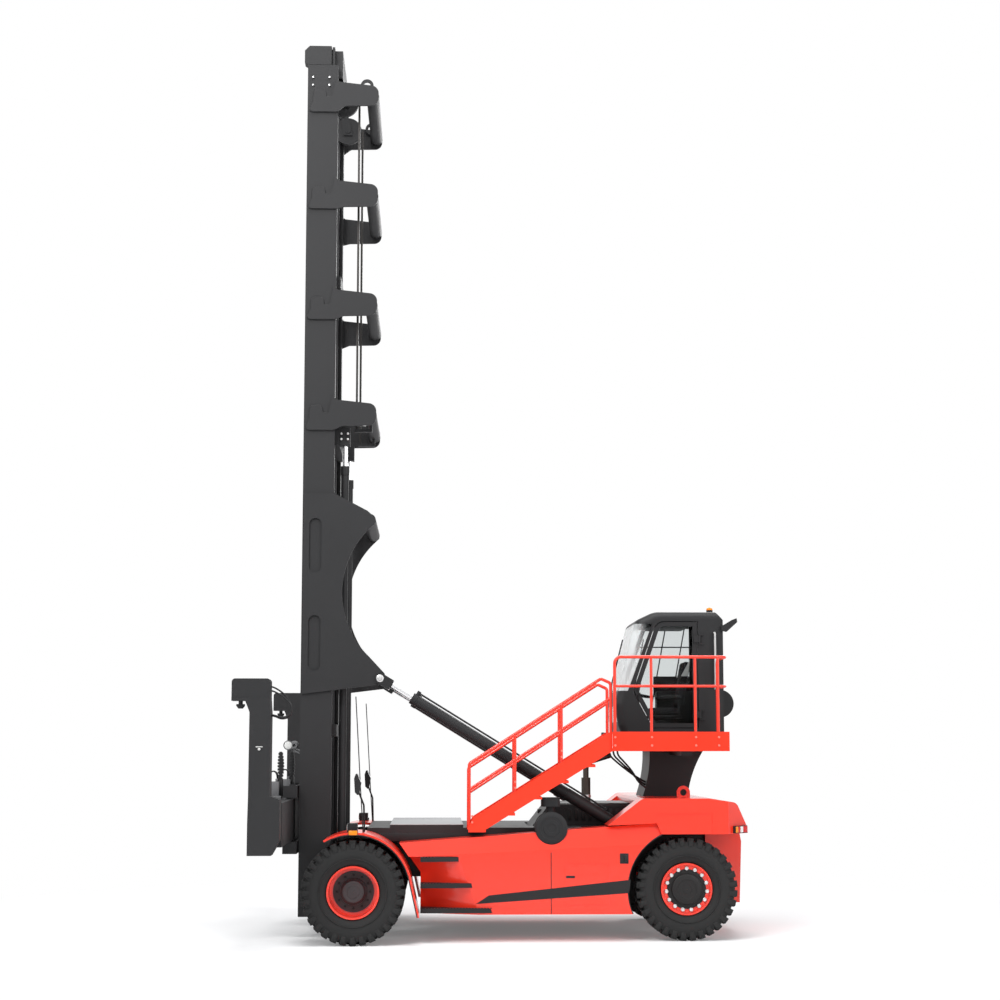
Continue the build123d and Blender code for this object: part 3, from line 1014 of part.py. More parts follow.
# Cab shell: a hollow, rounded box with a bulged front, cut for the windscreen, windows and door.
# Its outlines give x ahead of the rear wall and z above the cab's floor.
CAB_NOSE = (1515, 620)
CAB_BROW = (1225, 1780)
CAB_OUTLINE = [(0, 0), (0, CAB_ROOF - 117), (100, CAB_ROOF), (955, CAB_ROOF), CAB_BROW, CAB_NOSE,
               (1475, 320), (1355, 0)]
DOOR_KNEE = (1260, 800)
DOOR_BROW = (925, CAB_ROOF - 147)
DOOR_OUTLINE = [(DOOR_REAR, 290), (DOOR_REAR, CAB_ROOF - 147), DOOR_BROW, DOOR_KNEE, (985, 290)]
WINDSCREEN = [(990, CAB_ROOF - 172), (1340, 800), (2000, 800), (2000, CAB_ROOF - 172)]
WINDOW_RIGHT = [(175, 470), (175, CAB_ROOF - 157), (925, CAB_ROOF - 157), (1265, 800), (1040, 370),
                (575, 370)]
LOW_PANE = (1200, 370, 590)
REAR_PANE = (120, 850, 1670)


def cab_side(outline, y0, y1):
    return Pos(CAB_REAR, 0, CAB_FLOOR) * side_plate(outline, y0, y1)


def cab_form(inset):
    """The cab's rounded outer form, or the same drawn in by an inset."""
    outline = face_of(CAB_OUTLINE, [(CAB_NOSE, 150), (CAB_BROW, 150), ((955, CAB_ROOF), 300)])
    if inset:
        outline = offset(outline, -inset)
    half = CAB_HALF - inset
    form = side_plate(outline, -half, half)
    edges = [e for e in form.edges() if abs(abs(e.center().Y) - half) < 1 and e.center().X > 1300]
    return Pos(CAB_REAR, 0, CAB_FLOOR) * fillet(edges, CAB_ROUND - inset)


cab = cab_form(0) - cab_form(CAB_WALL)
wall_in = CAB_HALF - CAB_WALL
door_face = face_of(DOOR_OUTLINE, [(DOOR_KNEE, 150), (DOOR_BROW, 150)])
cab -= cab_side(offset(door_face, DOOR_GAP), wall_in - GAP, CAB_HALF + GAP)
cab -= cab_side(WINDOW_RIGHT, -CAB_HALF - GAP, GAP - wall_in)
cab -= cab_side(WINDSCREEN, -FAR, FAR)
low_x, low_z0, low_z1 = LOW_PANE
low_zone = block(CAB_REAR + low_x, CAB_REAR + 2000, CAB_ROUND - CAB_HALF, CAB_HALF - CAB_ROUND,
                 CAB_FLOOR + low_z0, CAB_FLOOR + low_z1)
cab -= low_zone
rear_edge, rear_z0, rear_z1 = REAR_PANE
rear_half = CAB_HALF - rear_edge
cab -= block(CAB_REAR - GAP, CAB_REAR + CAB_WALL + GAP, -rear_half, rear_half,
             CAB_FLOOR + rear_z0, CAB_FLOOR + rear_z1)
unit = cross_rod(CAB_REAR, CAB_FLOOR + UNIT_Z, -UNIT_HALF, UNIT_HALF, UNIT_RADIUS)
cab += unit - block(CAB_REAR + CAB_WALL / 2, FAR, -FAR, FAR, 0, FAR)
GUARD_BARS = [  # x and z of the foot, x and z of the head
    (1150, 600, 960, 1600),
    (900, 340, 630, 1780),
    (620, 340, 350, 1780),
    (150, 1480, 1080, 1480),
    (150, 760, 1300, 760),
]
guard_y = 12 - CAB_HALF
for x0, z0, x1, z1 in GUARD_BARS:
    cab += rod((CAB_REAR + x0, guard_y, CAB_FLOOR + z0), (CAB_REAR + x1, guard_y, CAB_FLOOR + z1), GUARD_BAR)
HINGE_HEIGHTS = (CAB_FLOOR + 470, CAB_FLOOR + 1520)
hinge_y = CAB_HALF + HINGE_TUBE + 4
door_rear = CAB_REAR + DOOR_REAR
hinge_x = door_rear - HINGE_SET
for z in HINGE_HEIGHTS:
    for low in (z - HINGE_HALF, z + HINGE_HALF - 25):
        cab += block(hinge_x - 50, hinge_x + HINGE_PIN, CAB_HALF - 5, hinge_y + HINGE_PIN, low, low + 25)
    cab += rod((hinge_x, hinge_y, z - HINGE_HALF), (hinge_x, hinge_y, z + HINGE_HALF), HINGE_PIN)
nodes["cab_shell"] = cab

# Door: a frame as thick as the wall, its glass, and hinge tubes on the pins.
pane_face = offset(door_face, -DOOR_FRAME)
door = cab_side(door_face, wall_in, CAB_HALF) - cab_side(pane_face, wall_in - GAP, CAB_HALF + GAP)
for z in HINGE_HEIGHTS:
    low, high = z - HINGE_ARM, z + HINGE_ARM
    tube = rod((hinge_x, hinge_y, low), (hinge_x, hinge_y, high), HINGE_TUBE)
    tube += block(hinge_x, door_rear + 50, CAB_HALF + 3, hinge_y + HINGE_PIN, low, high)
    tube += block(door_rear, door_rear + 50, CAB_HALF - 5, CAB_HALF + 3, low, high)
    door += tube - rod((hinge_x, hinge_y, low - GAP), (hinge_x, hinge_y, high + GAP), HINGE_PIN + RUN)
nodes["cab_door"] = door
pane_y = CAB_HALF - CAB_WALL / 2
nodes["door_glass"] = cab_side(pane_face, pane_y - GLASS, pane_y)

# Glass: a windscreen bent round the front, and flat panes in the other openings.
glass_shell = cab_form(0) - cab_form(GLASS)
rear_pane = block(CAB_REAR + 20, CAB_REAR + 20 + GLASS, -rear_half, rear_half,
                  CAB_FLOOR + rear_z0, CAB_FLOOR + rear_z1)
right_pane = cab_side(WINDOW_RIGHT, -pane_y, GLASS - pane_y)
windscreen = glass_shell & cab_side(WINDSCREEN, -FAR, FAR)
nodes["cab_glass"] = many([windscreen, glass_shell & low_zone, rear_pane, right_pane])

# Seat and steering column.
seat_x = CAB_REAR + 515
seat_z = CAB_FLOOR + 460
cab_inside = CAB_FLOOR + CAB_WALL
seat = block(seat_x, seat_x + 500, -250, 250, seat_z, seat_z + 120)
seat += side_plate([(seat_x, seat_z + 60), (seat_x + 120, seat_z + 120), (seat_x - 30, seat_z + 830),
                    (seat_x - 140, seat_z + 810)], -230, 230)
seat += block(seat_x + 40, seat_x + 440, -200, 200, cab_inside, seat_z)
nodes["operator_seat"] = seat
column_foot = (CAB_REAR + 1195, 0, cab_inside + 15)
column_head = (CAB_REAR + 1140, 0, CAB_FLOOR + 760)
column = rod(column_foot, column_head, 45)
column += block(column_foot[0] - 90, column_foot[0] + 70, -90, 90, cab_inside, cab_inside + 40)
wheel_plane = Plane(origin=column_head, z_dir=(-110, 0, 670))
column += wheel_plane * (Torus(185, 16) + Cylinder(50, 80) + Box(380, 30, 16))
nodes["steering_column"] = column

# Lamps: a marker box on each fender, tail lamps and a beacon.
fender_top = TYRE_RADIUS + FENDER_RADIUS
marker = block(-50, 80, TWIN_OUTER_Y - 110, TWIN_OUTER_Y + 100, fender_top, fender_top + 110)
marker += block(-60, 60, FENDER_OUT_Y, FENDER_OUT_Y + 24, fender_top - 36, fender_top + 30)
marker += block(-20, 20, TWIN_OUTER_Y + 100, FENDER_OUT_Y, fender_top, fender_top + 12)
lamps = both(marker)
corner_angle = degrees(atan2(BODY_HALF - CORNER_Y, REAR_REACH + CORNER_X))
tail_middle = Pos((CORNER_X - REAR_REACH) / 2, (BODY_HALF + CORNER_Y) / 2, DECK_TOP - 15)
lamps += both(tail_middle * Rot(0, 0, corner_angle) * Pos(0, 20, 0) * Box(300, 40, 95))
beacon_x = CAB_REAR + 145
lamps += rod((beacon_x, 400, CAB_FLOOR + CAB_ROOF), (beacon_x, 400, CAB_FLOOR + CAB_ROOF + 38), 45)
nodes["lamps"] = lamps

# Mirrors: a bent arm on each fender with a shield-shaped head, and a paddle behind the cab.
mirror_y = TWIN_OUTER_Y - 160
arm_x = -133
arm_foot = TYRE_RADIUS + sqrt(FENDER_RADIUS**2 - (arm_x + 12) ** 2) + RUN
head_low = fender_top + 460
head_outline = [(-10, head_low + 50), (1, head_low + 230), (-30, head_low + 320), (-89, head_low + 170),
                (-60, head_low)]
head_face = face_of(head_outline, [(point, 15) for point in head_outline])
mirror_head = side_plate(head_face, mirror_y - 10, mirror_y + 180)
arm_route = [(arm_x, mirror_y, arm_foot), (arm_x + 10, mirror_y, head_low - 120),
             (-45, mirror_y + 40, head_low + 80)]
mirror_arm = bent_tube(arm_route, 60, 12)
paddle_x, paddle_z = CAB_REAR + 30, CAB_FLOOR + CAB_ROOF - 270
paddle_outline = [(paddle_x, paddle_z), (paddle_x - 75, paddle_z - 15), (paddle_x - 225, paddle_z + 120),
                  (paddle_x - 215, paddle_z + 175), (paddle_x - 150, paddle_z + 150), (paddle_x, paddle_z + 60)]
paddle = side_plate(paddle_outline, CAB_HALF + RUN, CAB_HALF + 60)
nodes["mirrors"] = both(mirror_arm + mirror_head) + paddle

os.makedirs("parts", exist_ok=True)
for name, shape in nodes.items():
    export_step(Pos(AXLE_X, 0, 0) * shape, f"parts/{name}.step")
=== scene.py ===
import math
import bpy
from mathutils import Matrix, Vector


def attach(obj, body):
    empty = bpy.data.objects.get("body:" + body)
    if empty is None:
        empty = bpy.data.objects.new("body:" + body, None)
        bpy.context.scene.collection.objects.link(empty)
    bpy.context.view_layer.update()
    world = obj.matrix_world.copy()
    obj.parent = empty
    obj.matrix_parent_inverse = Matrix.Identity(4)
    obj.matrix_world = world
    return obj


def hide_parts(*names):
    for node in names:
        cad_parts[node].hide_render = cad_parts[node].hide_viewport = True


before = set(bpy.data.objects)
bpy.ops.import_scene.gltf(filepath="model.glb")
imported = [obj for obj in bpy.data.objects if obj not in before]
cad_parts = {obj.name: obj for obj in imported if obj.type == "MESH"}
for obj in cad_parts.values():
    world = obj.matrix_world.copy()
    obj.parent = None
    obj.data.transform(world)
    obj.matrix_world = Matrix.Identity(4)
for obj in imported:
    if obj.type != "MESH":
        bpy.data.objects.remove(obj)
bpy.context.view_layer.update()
bpy.ops.object.select_all(action="DESELECT")

# Studio: a pale floor that fades into a white backdrop, broad soft lamps on the camera's side,
# and a long lens set low beside the machine, looking slightly up at the mast.
bpy.context.scene.view_settings.view_transform = "Standard"
sky = bpy.data.worlds.new("studio_sky")
bpy.context.scene.world = sky
sky.use_nodes = True
air, wires = sky.node_tree.nodes, sky.node_tree.links
for spare in list(air):
    air.remove(spare)
sky_out = air.new("ShaderNodeOutputWorld")
sky_glow = air.new("ShaderNodeBackground")
sky_glow.inputs["Color"].default_value = (0.93, 0.95, 1.0, 1)
sky_glow.inputs["Strength"].default_value = 0.42
sky_white = air.new("ShaderNodeBackground")
sky_white.inputs["Color"].default_value = (1, 1, 1, 1)
sky_white.inputs["Strength"].default_value = 1.0
sky_ray = air.new("ShaderNodeLightPath")
sky_seen = air.new("ShaderNodeMath")
sky_seen.operation = "MAXIMUM"
sky_pick = air.new("ShaderNodeMixShader")
wires.new(sky_ray.outputs["Is Camera Ray"], sky_seen.inputs[0])
wires.new(sky_ray.outputs["Is Transmission Ray"], sky_seen.inputs[1])
sky_any = air.new("ShaderNodeMath")
sky_any.operation = "MAXIMUM"
wires.new(sky_seen.outputs[0], sky_any.inputs[0])
wires.new(sky_ray.outputs["Is Glossy Ray"], sky_any.inputs[1])
wires.new(sky_any.outputs[0], sky_pick.inputs[0])
wires.new(sky_glow.outputs[0], sky_pick.inputs[1])
wires.new(sky_white.outputs[0], sky_pick.inputs[2])
wires.new(sky_pick.outputs[0], sky_out.inputs["Surface"])

bpy.ops.mesh.primitive_circle_add(vertices=96, radius=60, fill_type="NGON", location=(0, 0, 0))
floor = bpy.context.object
floor.name = "studio_floor"
floor_paint = bpy.data.materials.new("floor_paper")
floor_paint.use_nodes = True
air, wires = floor_paint.node_tree.nodes, floor_paint.node_tree.links
for spare in list(air):
    air.remove(spare)
floor_out = air.new("ShaderNodeOutputMaterial")
floor_matt = air.new("ShaderNodeBsdfDiffuse")
floor_matt.inputs["Color"].default_value = (0.83, 0.83, 0.83, 1)
floor_white = air.new("ShaderNodeEmission")
floor_white.inputs["Strength"].default_value = 1.0
floor_where = air.new("ShaderNodeTexCoord")
floor_reach = air.new("ShaderNodeVectorMath")
floor_reach.operation = "LENGTH"
floor_fade = air.new("ShaderNodeMapRange")
floor_fade.inputs["From Min"].default_value = 3.5
floor_fade.inputs["From Max"].default_value = 10.0
floor_fade.inputs["To Min"].default_value = 0.15
floor_fade.interpolation_type = "SMOOTHSTEP"
floor_ray = air.new("ShaderNodeLightPath")
floor_seen = air.new("ShaderNodeMath")
floor_seen.operation = "MULTIPLY"
floor_mix = air.new("ShaderNodeMixShader")
wires.new(floor_where.outputs["Object"], floor_reach.inputs[0])
wires.new(floor_reach.outputs["Value"], floor_fade.inputs["Value"])
wires.new(floor_fade.outputs["Result"], floor_seen.inputs[0])
wires.new(floor_ray.outputs["Is Camera Ray"], floor_seen.inputs[1])
wires.new(floor_seen.outputs[0], floor_mix.inputs[0])
wires.new(floor_matt.outputs[0], floor_mix.inputs[1])
wires.new(floor_white.outputs[0], floor_mix.inputs[2])
wires.new(floor_mix.outputs[0], floor_out.inputs["Surface"])
floor.data.materials.append(floor_paint)

LAMPS = [  # name, place, aim, size, watts
    ("key_lamp", (9, 15, 17), (0, 0, 4), 9, 3000),
    ("fill_lamp", (-13, 15, 9), (0, 0, 4), 10, 1250),
    ("front_lamp", (17, 2, 9), (0, 0, 4), 8, 750),
    ("back_lamp", (-6, -16, 14), (0, 0, 5), 10, 1500),
    ("top_lamp", (-1, 5, 23), (-0.5, 0, 1), 12, 3200),
]
for lamp_name, place, aim, size, watts in LAMPS:
    bpy.ops.object.light_add(type="AREA", location=place)
    lamp = bpy.context.object
    lamp.name = lamp_name
    lamp.data.size = size
    lamp.data.energy = watts
    lamp.rotation_euler = (Vector(aim) - Vector(place)).to_track_quat("-Z", "Y").to_euler()

LOOK_UP, LOOK_ASIDE = 0.1065, 0.0401
SENSOR, REACH = 36, 1.7520
bpy.ops.object.camera_add(location=(0.890, 25.0, 2.533))
camera = bpy.context.object
camera.name = "side_camera"
camera.rotation_euler = (math.pi / 2 + LOOK_UP, 0, math.pi - LOOK_ASIDE)
camera.data.sensor_width = SENSOR
camera.data.lens = SENSOR * REACH
camera.data.shift_x = -0.0030
camera.data.shift_y = 0.061
camera.data.clip_end = 300
bpy.context.scene.camera = camera


# Chassis: welded box rails, cross members, both axles and the engine, sprayed black.
# The enamel has a faint clouding in its colour and gloss and a fine orange-peel surface.
def enamel(name, colour, cloud=0.82, rough=0.42, coat=0.0, peel=0.04, shine=0.22, metal=0.0):
    paint = bpy.data.materials.new(name)
    paint.use_nodes = True
    air, wires = paint.node_tree.nodes, paint.node_tree.links
    skin = air["Principled BSDF"]
    where = air.new("ShaderNodeTexCoord")
    drift = air.new("ShaderNodeTexNoise")
    drift.inputs["Scale"].default_value = 1.4
    drift.inputs["Detail"].default_value = 5
    tint = air.new("ShaderNodeMix")
    tint.data_type = "RGBA"
    tint.inputs["A"].default_value = (*(c * cloud for c in colour), 1)
    tint.inputs["B"].default_value = (*colour, 1)
    gloss = air.new("ShaderNodeMapRange")
    gloss.inputs["To Min"].default_value = rough - 0.07
    gloss.inputs["To Max"].default_value = rough + 0.09
    fine = air.new("ShaderNodeTexNoise")
    fine.inputs["Scale"].default_value = 55
    fine.inputs["Detail"].default_value = 2
    bump = air.new("ShaderNodeBump")
    bump.inputs["Strength"].default_value = peel
    bump.inputs["Distance"].default_value = 0.004
    wires.new(where.outputs["Object"], drift.inputs["Vector"])
    wires.new(where.outputs["Object"], fine.inputs["Vector"])
    wires.new(drift.outputs["Fac"], tint.inputs["Factor"])
    wires.new(drift.outputs["Fac"], gloss.inputs["Value"])
    wires.new(fine.outputs["Fac"], bump.inputs["Height"])
    wires.new(tint.outputs["Result"], skin.inputs["Base Color"])
    wires.new(gloss.outputs["Result"], skin.inputs["Roughness"])
    wires.new(bump.outputs["Normal"], skin.inputs["Normal"])
    skin.inputs["Specular IOR Level"].default_value = shine
    skin.inputs["Metallic"].default_value = metal
    skin.inputs["Coat Weight"].default_value = coat
    skin.inputs["Coat Roughness"].default_value = 0.12
    return paint


def dress(material, *node_names):
    for node_name in node_names:
        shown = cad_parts[node_name].data
        shown.materials.clear()
        shown.materials.append(material)


chassis_black = enamel("chassis_black", (0.018, 0.018, 0.019), rough=0.5)
dress(chassis_black, "chassis_frame", "drive_axle", "steer_axle", "knuckle_left", "knuckle_right",
      "engine_block")


# Drive wheels: twin cross-ply tyres on open red rims, with a planetary hub between.
# Each tyre is a moulded carcass with a ring of heavy shoulder lugs on both edges.
def lathe(name, profile, sides, closed=False):
    first_y, first_r = profile[0]
    bpy.ops.object.select_all(action="DESELECT")
    bpy.ops.mesh.primitive_circle_add(vertices=sides, radius=first_r, location=(0, first_y, 0),
                                      rotation=(math.pi / 2, 0, 0))
    ring = bpy.context.object
    ring.name = name
    bpy.ops.object.transform_apply(location=True, rotation=True, scale=True)
    bpy.ops.object.mode_set(mode="EDIT")
    bpy.ops.mesh.select_all(action="SELECT")
    y, r = first_y, first_r
    for next_y, next_r in (profile[1:] + profile[:1] if closed else profile[1:]):
        bpy.ops.mesh.extrude_region_move(TRANSFORM_OT_translate={"value": (0, next_y - y, 0)})
        bpy.ops.transform.resize(value=(next_r / r, 1, next_r / r), center_override=(0, next_y, 0))
        y, r = next_y, next_r
    bpy.ops.mesh.select_all(action="SELECT")
    bpy.ops.mesh.remove_doubles(threshold=0.0002)
    bpy.ops.mesh.normals_make_consistent(inside=False)
    bpy.ops.object.mode_set(mode="OBJECT")
    bpy.ops.object.shade_smooth_by_angle(angle=math.radians(32))
    return ring


def shaped_block(name, low, high, edge=0.006, steps=2):
    bpy.ops.object.select_all(action="DESELECT")
    bpy.ops.mesh.primitive_cube_add(size=1, location=[(a + b) / 2 for a, b in zip(low, high)])
    block = bpy.context.object
    block.name = name
    block.scale = [b - a for a, b in zip(low, high)]
    bpy.ops.object.transform_apply(location=True, rotation=True, scale=True)
    bpy.ops.object.mode_set(mode="EDIT")
    bpy.ops.mesh.select_all(action="SELECT")
    bpy.ops.mesh.bevel(offset=edge, segments=steps, affect="EDGES")
    bpy.ops.object.mode_set(mode="OBJECT")
    bpy.ops.object.shade_smooth_by_angle(angle=math.radians(32))
    return block


def flank_block(name, side, low, high, edge=0.006, steps=2):
    low_y, high_y = sorted((side * low[1], side * high[1]))
    return shaped_block(name, (low[0], low_y, low[2]), (high[0], high_y, high[2]), edge, steps)


def alone(piece):
    bpy.ops.object.select_all(action="DESELECT")
    piece.select_set(True)
    bpy.context.view_layer.objects.active = piece


def turned(piece, value, axis, centre):
    alone(piece)
    bpy.ops.object.mode_set(mode="EDIT")
    bpy.ops.mesh.select_all(action="SELECT")
    bpy.ops.transform.rotate(value=value, orient_axis=axis, center_override=centre)
    bpy.ops.object.mode_set(mode="OBJECT")
    return piece


def joined(name, pieces):
    bpy.ops.object.select_all(action="DESELECT")
    for piece in pieces:
        piece.select_set(True)
    bpy.context.view_layer.objects.active = pieces[0]
    bpy.ops.object.join()
    pieces[0].name = name
    return pieces[0]


def placed(piece, place, turn=(0, 0, 0)):
    piece.location = place
    piece.rotation_euler = turn
    alone(piece)
    bpy.ops.object.transform_apply(location=True, rotation=True, scale=True)
    return piece


def copied(piece, name, place=(0, 0, 0), turn=(0, 0, 0)):
    twin = piece.copy()
    twin.data = piece.data.copy()
    twin.name = name
    bpy.context.scene.collection.objects.link(twin)
    return placed(twin, place, turn)


def facing(side):
    return (0, 0, 0 if side > 0 else math.pi)


def ringed(piece, count):
    alone(piece)
    bpy.ops.object.mode_set(mode="EDIT")
    bpy.ops.mesh.select_all(action="SELECT")
    bpy.ops.mesh.spin(steps=count - 1, dupli=True, angle=math.tau * (count - 1) / count,
                      center=(0, 0, 0), axis=(0, 1, 0))
    bpy.ops.object.mode_set(mode="OBJECT")
    return piece


def finished(piece, material, body):
    piece.data.materials.clear()
    piece.data.materials.append(material)
    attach(piece, body)
    return piece


SIDES = (("left", 1), ("right", -1))
TYRE_R = 0.675
LUGS, LUG_SKEW = 32, 0.16
TWIN_ROWS = (("outer", 1.86), ("inner", 1.42))
STEER_Y = 1.41
DRIVE_X, STEER_X = 1.909, -2.491
TYRE_SECTION = [(0.118, 0.352), (0.150, 0.385), (0.180, 0.450), (0.187, 0.505), (0.181, 0.552),
                (0.168, 0.590), (0.158, 0.618), (0.130, 0.634), (0.0, 0.640), (-0.130, 0.634),
                (-0.158, 0.618), (-0.168, 0.590), (-0.181, 0.552), (-0.187, 0.505), (-0.180, 0.450),
                (-0.150, 0.385), (-0.118, 0.352), (-0.1, 0.345), (0.1, 0.345)]
tyre_black = enamel("tyre_black", (0.024, 0.024, 0.024), cloud=0.72, rough=0.8, peel=0.25)
carcass = lathe("tyre_carcass", TYRE_SECTION, 96, closed=True)
lug_rows = []
for side, turn in ((1, 0.0), (-1, math.pi / LUGS)):
    lug = flank_block("tyre_lug", side, (-0.041, 0.045, 0.606), (0.041, 0.172, 0.674), edge=0.007)
    turned(lug, LUG_SKEW * side, "Z", (0, 0.11 * side, 0.64))
    foot = flank_block("lug_foot", side, (-0.032, 0.150, 0.560), (0.032, 0.186, 0.648), edge=0.009)
    for rubber in (lug, foot):
        lug_rows.append(ringed(turned(rubber, turn, "Y", (0, 0, 0)), LUGS))
ridge = lathe("tyre_ridge", [(0.182, 0.430), (0.189, 0.434), (0.189, 0.441), (0.182, 0.446)], 96)
ridge_in = copied(ridge, "tyre_ridge_in", turn=(0, 0, math.pi))
tyre = joined("tyre_pattern", [carcass, ridge, ridge_in] + lug_rows)
for side_name, side in SIDES:
    twins = [copied(tyre, f"tyre_{side_name}_{row}", (DRIVE_X, side * y, TYRE_R), (0, 0.06 * i, 0))
             for i, (row, y) in enumerate(TWIN_ROWS)]
    pair = joined(f"drive_tyre_pair_{side_name}", twins)
    finished(pair, tyre_black, f"drive_wheel_{side_name}")
    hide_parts(f"drive_tyres_{side_name}")
    lone = copied(tyre, f"steer_tyre_tread_{side_name}", (STEER_X, side * STEER_Y, TYRE_R), (0, 0.1, 0))
    finished(lone, tyre_black, f"steer_wheel_{side_name}")
    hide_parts(f"steer_tyre_{side_name}")
bpy.data.objects.remove(tyre)

# Rims: pressed red rings and discs; the drive hub is a dark dish with a ring of black wheel bolts,
# and the steered wheels carry bright nuts round a black hub disc.
body_red = enamel("body_red", (0.84, 0.028, 0.007), cloud=0.95, rough=0.34, coat=0.7, peel=0.015, shine=0.3)
dress(body_red, "drive_rims_left", "drive_rims_right", "steer_rim_left", "steer_rim_right")
hub_black = enamel("hub_black", (0.016, 0.015, 0.015), rough=0.5)
dish_grey = enamel("dish_grey", (0.052, 0.044, 0.046), rough=0.55)
nut_steel = enamel("nut_steel", (0.72, 0.72, 0.72), cloud=0.8, rough=0.32, peel=0.01, metal=1.0)


def hex_nut(name, place, across, depth):
    bpy.ops.object.select_all(action="DESELECT")
    bpy.ops.mesh.primitive_cylinder_add(vertices=6, radius=across / 2, depth=depth, location=place,
                                        rotation=(math.pi / 2, 0, 0))
    nut = bpy.context.object
    nut.name = name
    bpy.ops.object.transform_apply(location=True, rotation=True, scale=True)
    bpy.ops.object.mode_set(mode="EDIT")
    bpy.ops.mesh.select_all(action="SELECT")
    bpy.ops.mesh.bevel(offset=across * 0.08, segments=1, affect="EDGES")
    bpy.ops.object.mode_set(mode="OBJECT")
    return nut


DISH_SECTION = [(1.752, 0.262), (1.764, 0.268), (1.764, 0.178), (1.792, 0.172), (1.796, 0.160),
                (1.826, 0.152), (1.856, 0.140), (1.862, 0.120), (1.857, 0.105), (1.857, 0.080),
                (1.864, 0.076), (1.864, 0.03), (1.868, 0.026), (1.868, 0.001)]
DISC_SECTION = [(1.518, 0.262), (1.530, 0.258), (1.534, 0.232), (1.534, 0.205), (1.572, 0.197),
                (1.578, 0.186), (1.578, 0.125), (1.574, 0.122), (1.574, 0.06), (1.578, 0.056),
                (1.578, 0.001)]
drive_hub = lathe("drive_hub", DISH_SECTION, 64)
drive_bolts = ringed(hex_nut("drive_bolts", (0, 1.772, 0.215), 0.036, 0.024), 12)
steer_hub = lathe("steer_hub", DISC_SECTION, 64)
steer_nuts = ringed(hex_nut("steer_nuts", (0, 1.545, 0.272), 0.058, 0.036), 15)
WHEEL_KIT = [  # pattern, name, axle x, body, material, slot
    (drive_hub, "drive_hub_cover", DRIVE_X, "drive_wheel", dish_grey, "black_paint"),
    (drive_bolts, "drive_wheel_bolts", DRIVE_X, "drive_wheel", hub_black, "black_paint"),
    (steer_hub, "steer_hub_disc", STEER_X, "steer_wheel", hub_black, "black_paint"),
    (steer_nuts, "steer_wheel_nuts", STEER_X, "steer_wheel", nut_steel, "rod_chrome"),
]
for side_name, side in SIDES:
    for pattern, name, x, body, material, slot in WHEEL_KIT:
        finished(copied(pattern, f"{name}_{side_name}", (x, 0, TYRE_R), facing(side)), material,
                 f"{body}_{side_name}")
for pattern in (drive_hub, drive_bolts, steer_hub, steer_nuts):
    bpy.data.objects.remove(pattern)

# Body: the cast counterweight, pressed side panels and fenders share one glossy red coat, with black
# moulded liners in the arches. Each flank has a painted band, a seam, a handle and a lock.
dress(body_red, "counterweight", "side_panel_left", "side_panel_right", "front_fenders")
trim_black = enamel("trim_black", (0.018, 0.018, 0.019), rough=0.46)
dress(trim_black, "arch_liners")


def flank_plate(name, outline, y, thick):
    bpy.ops.object.select_all(action="DESELECT")
    bpy.ops.mesh.primitive_circle_add(vertices=len(outline), radius=1, fill_type="NGON")
    plate = bpy.context.object
    plate.name = name
    for corner, (x, z) in zip(plate.data.vertices, outline):
        corner.co = (x, y, z)
    bpy.ops.object.mode_set(mode="EDIT")
    bpy.ops.mesh.select_all(action="SELECT")
    bpy.ops.mesh.extrude_region_move(TRANSFORM_OT_translate={"value": (0, thick, 0)})
    bpy.ops.mesh.select_all(action="SELECT")
    bpy.ops.mesh.normals_make_consistent(inside=False)
    bpy.ops.object.mode_set(mode="OBJECT")
    return plate


BAND = [(0.309, 0.500), (0.139, 0.610), (-1.735, 0.808), (-1.712, 0.634)]
BAND_Y, SEAM_Y, PANEL_Y, PULL_Y = 1.6505, 1.6508, 1.652, 1.664
for side_name, side in SIDES:
    band = flank_plate(f"flank_band_{side_name}", BAND, side * BAND_Y, side * 0.002)
    finished(band, trim_black, "chassis")
    grip = flank_block("handle_plate", side, (-1.707, PANEL_Y - 0.006, 1.018),
                       (-1.592, PANEL_Y + 0.006, 1.152), edge=0.005)
    pull = flank_block("handle_pull", side, (-1.690, PULL_Y - 0.012, 1.045),
                       (-1.648, PULL_Y + 0.012, 1.130), edge=0.009)
    finished(joined(f"panel_handle_{side_name}", [grip, pull]), trim_black, "chassis")
    lock = flank_block(f"panel_lock_{side_name}", side, (-0.995, PANEL_Y - 0.005, 0.832),
                       (-0.88, PANEL_Y + 0.005, 0.862), edge=0.004)
    finished(lock, trim_black, "chassis")
    seam = flank_block(f"panel_seam_{side_name}", side, (-0.688, SEAM_Y - 0.001, 0.365),
                       (-0.678, SEAM_Y + 0.001, 1.165), edge=0.0004, steps=1)
    finished(seam, trim_black, "chassis")

# Fender edges: a black rubber lip pressed over the outer edge of each front fender.
# It follows the bend over the wheels and the straight tail, and stands a little proud of the steel.
LIP_OUT, LIP_IN, LIP_Y = 0.750, 0.737, 2.050
lip_angles = [math.radians(60 + 8 * i) for i in range(15)]
lip_line = [(DRIVE_X + LIP_OUT * math.cos(a), TYRE_R + LIP_OUT * math.sin(a)) for a in lip_angles]
lip_line += [(1.069, 0.362), (1.083, 0.362)]
lip_line += [(DRIVE_X + LIP_IN * math.cos(a), TYRE_R + LIP_IN * math.sin(a)) for a in reversed(lip_angles)]
for side_name, side in SIDES:
    edge_lip = flank_plate(f"fender_lip_{side_name}", lip_line, side * LIP_Y, side * 0.006)
    finished(edge_lip, trim_black, "chassis")

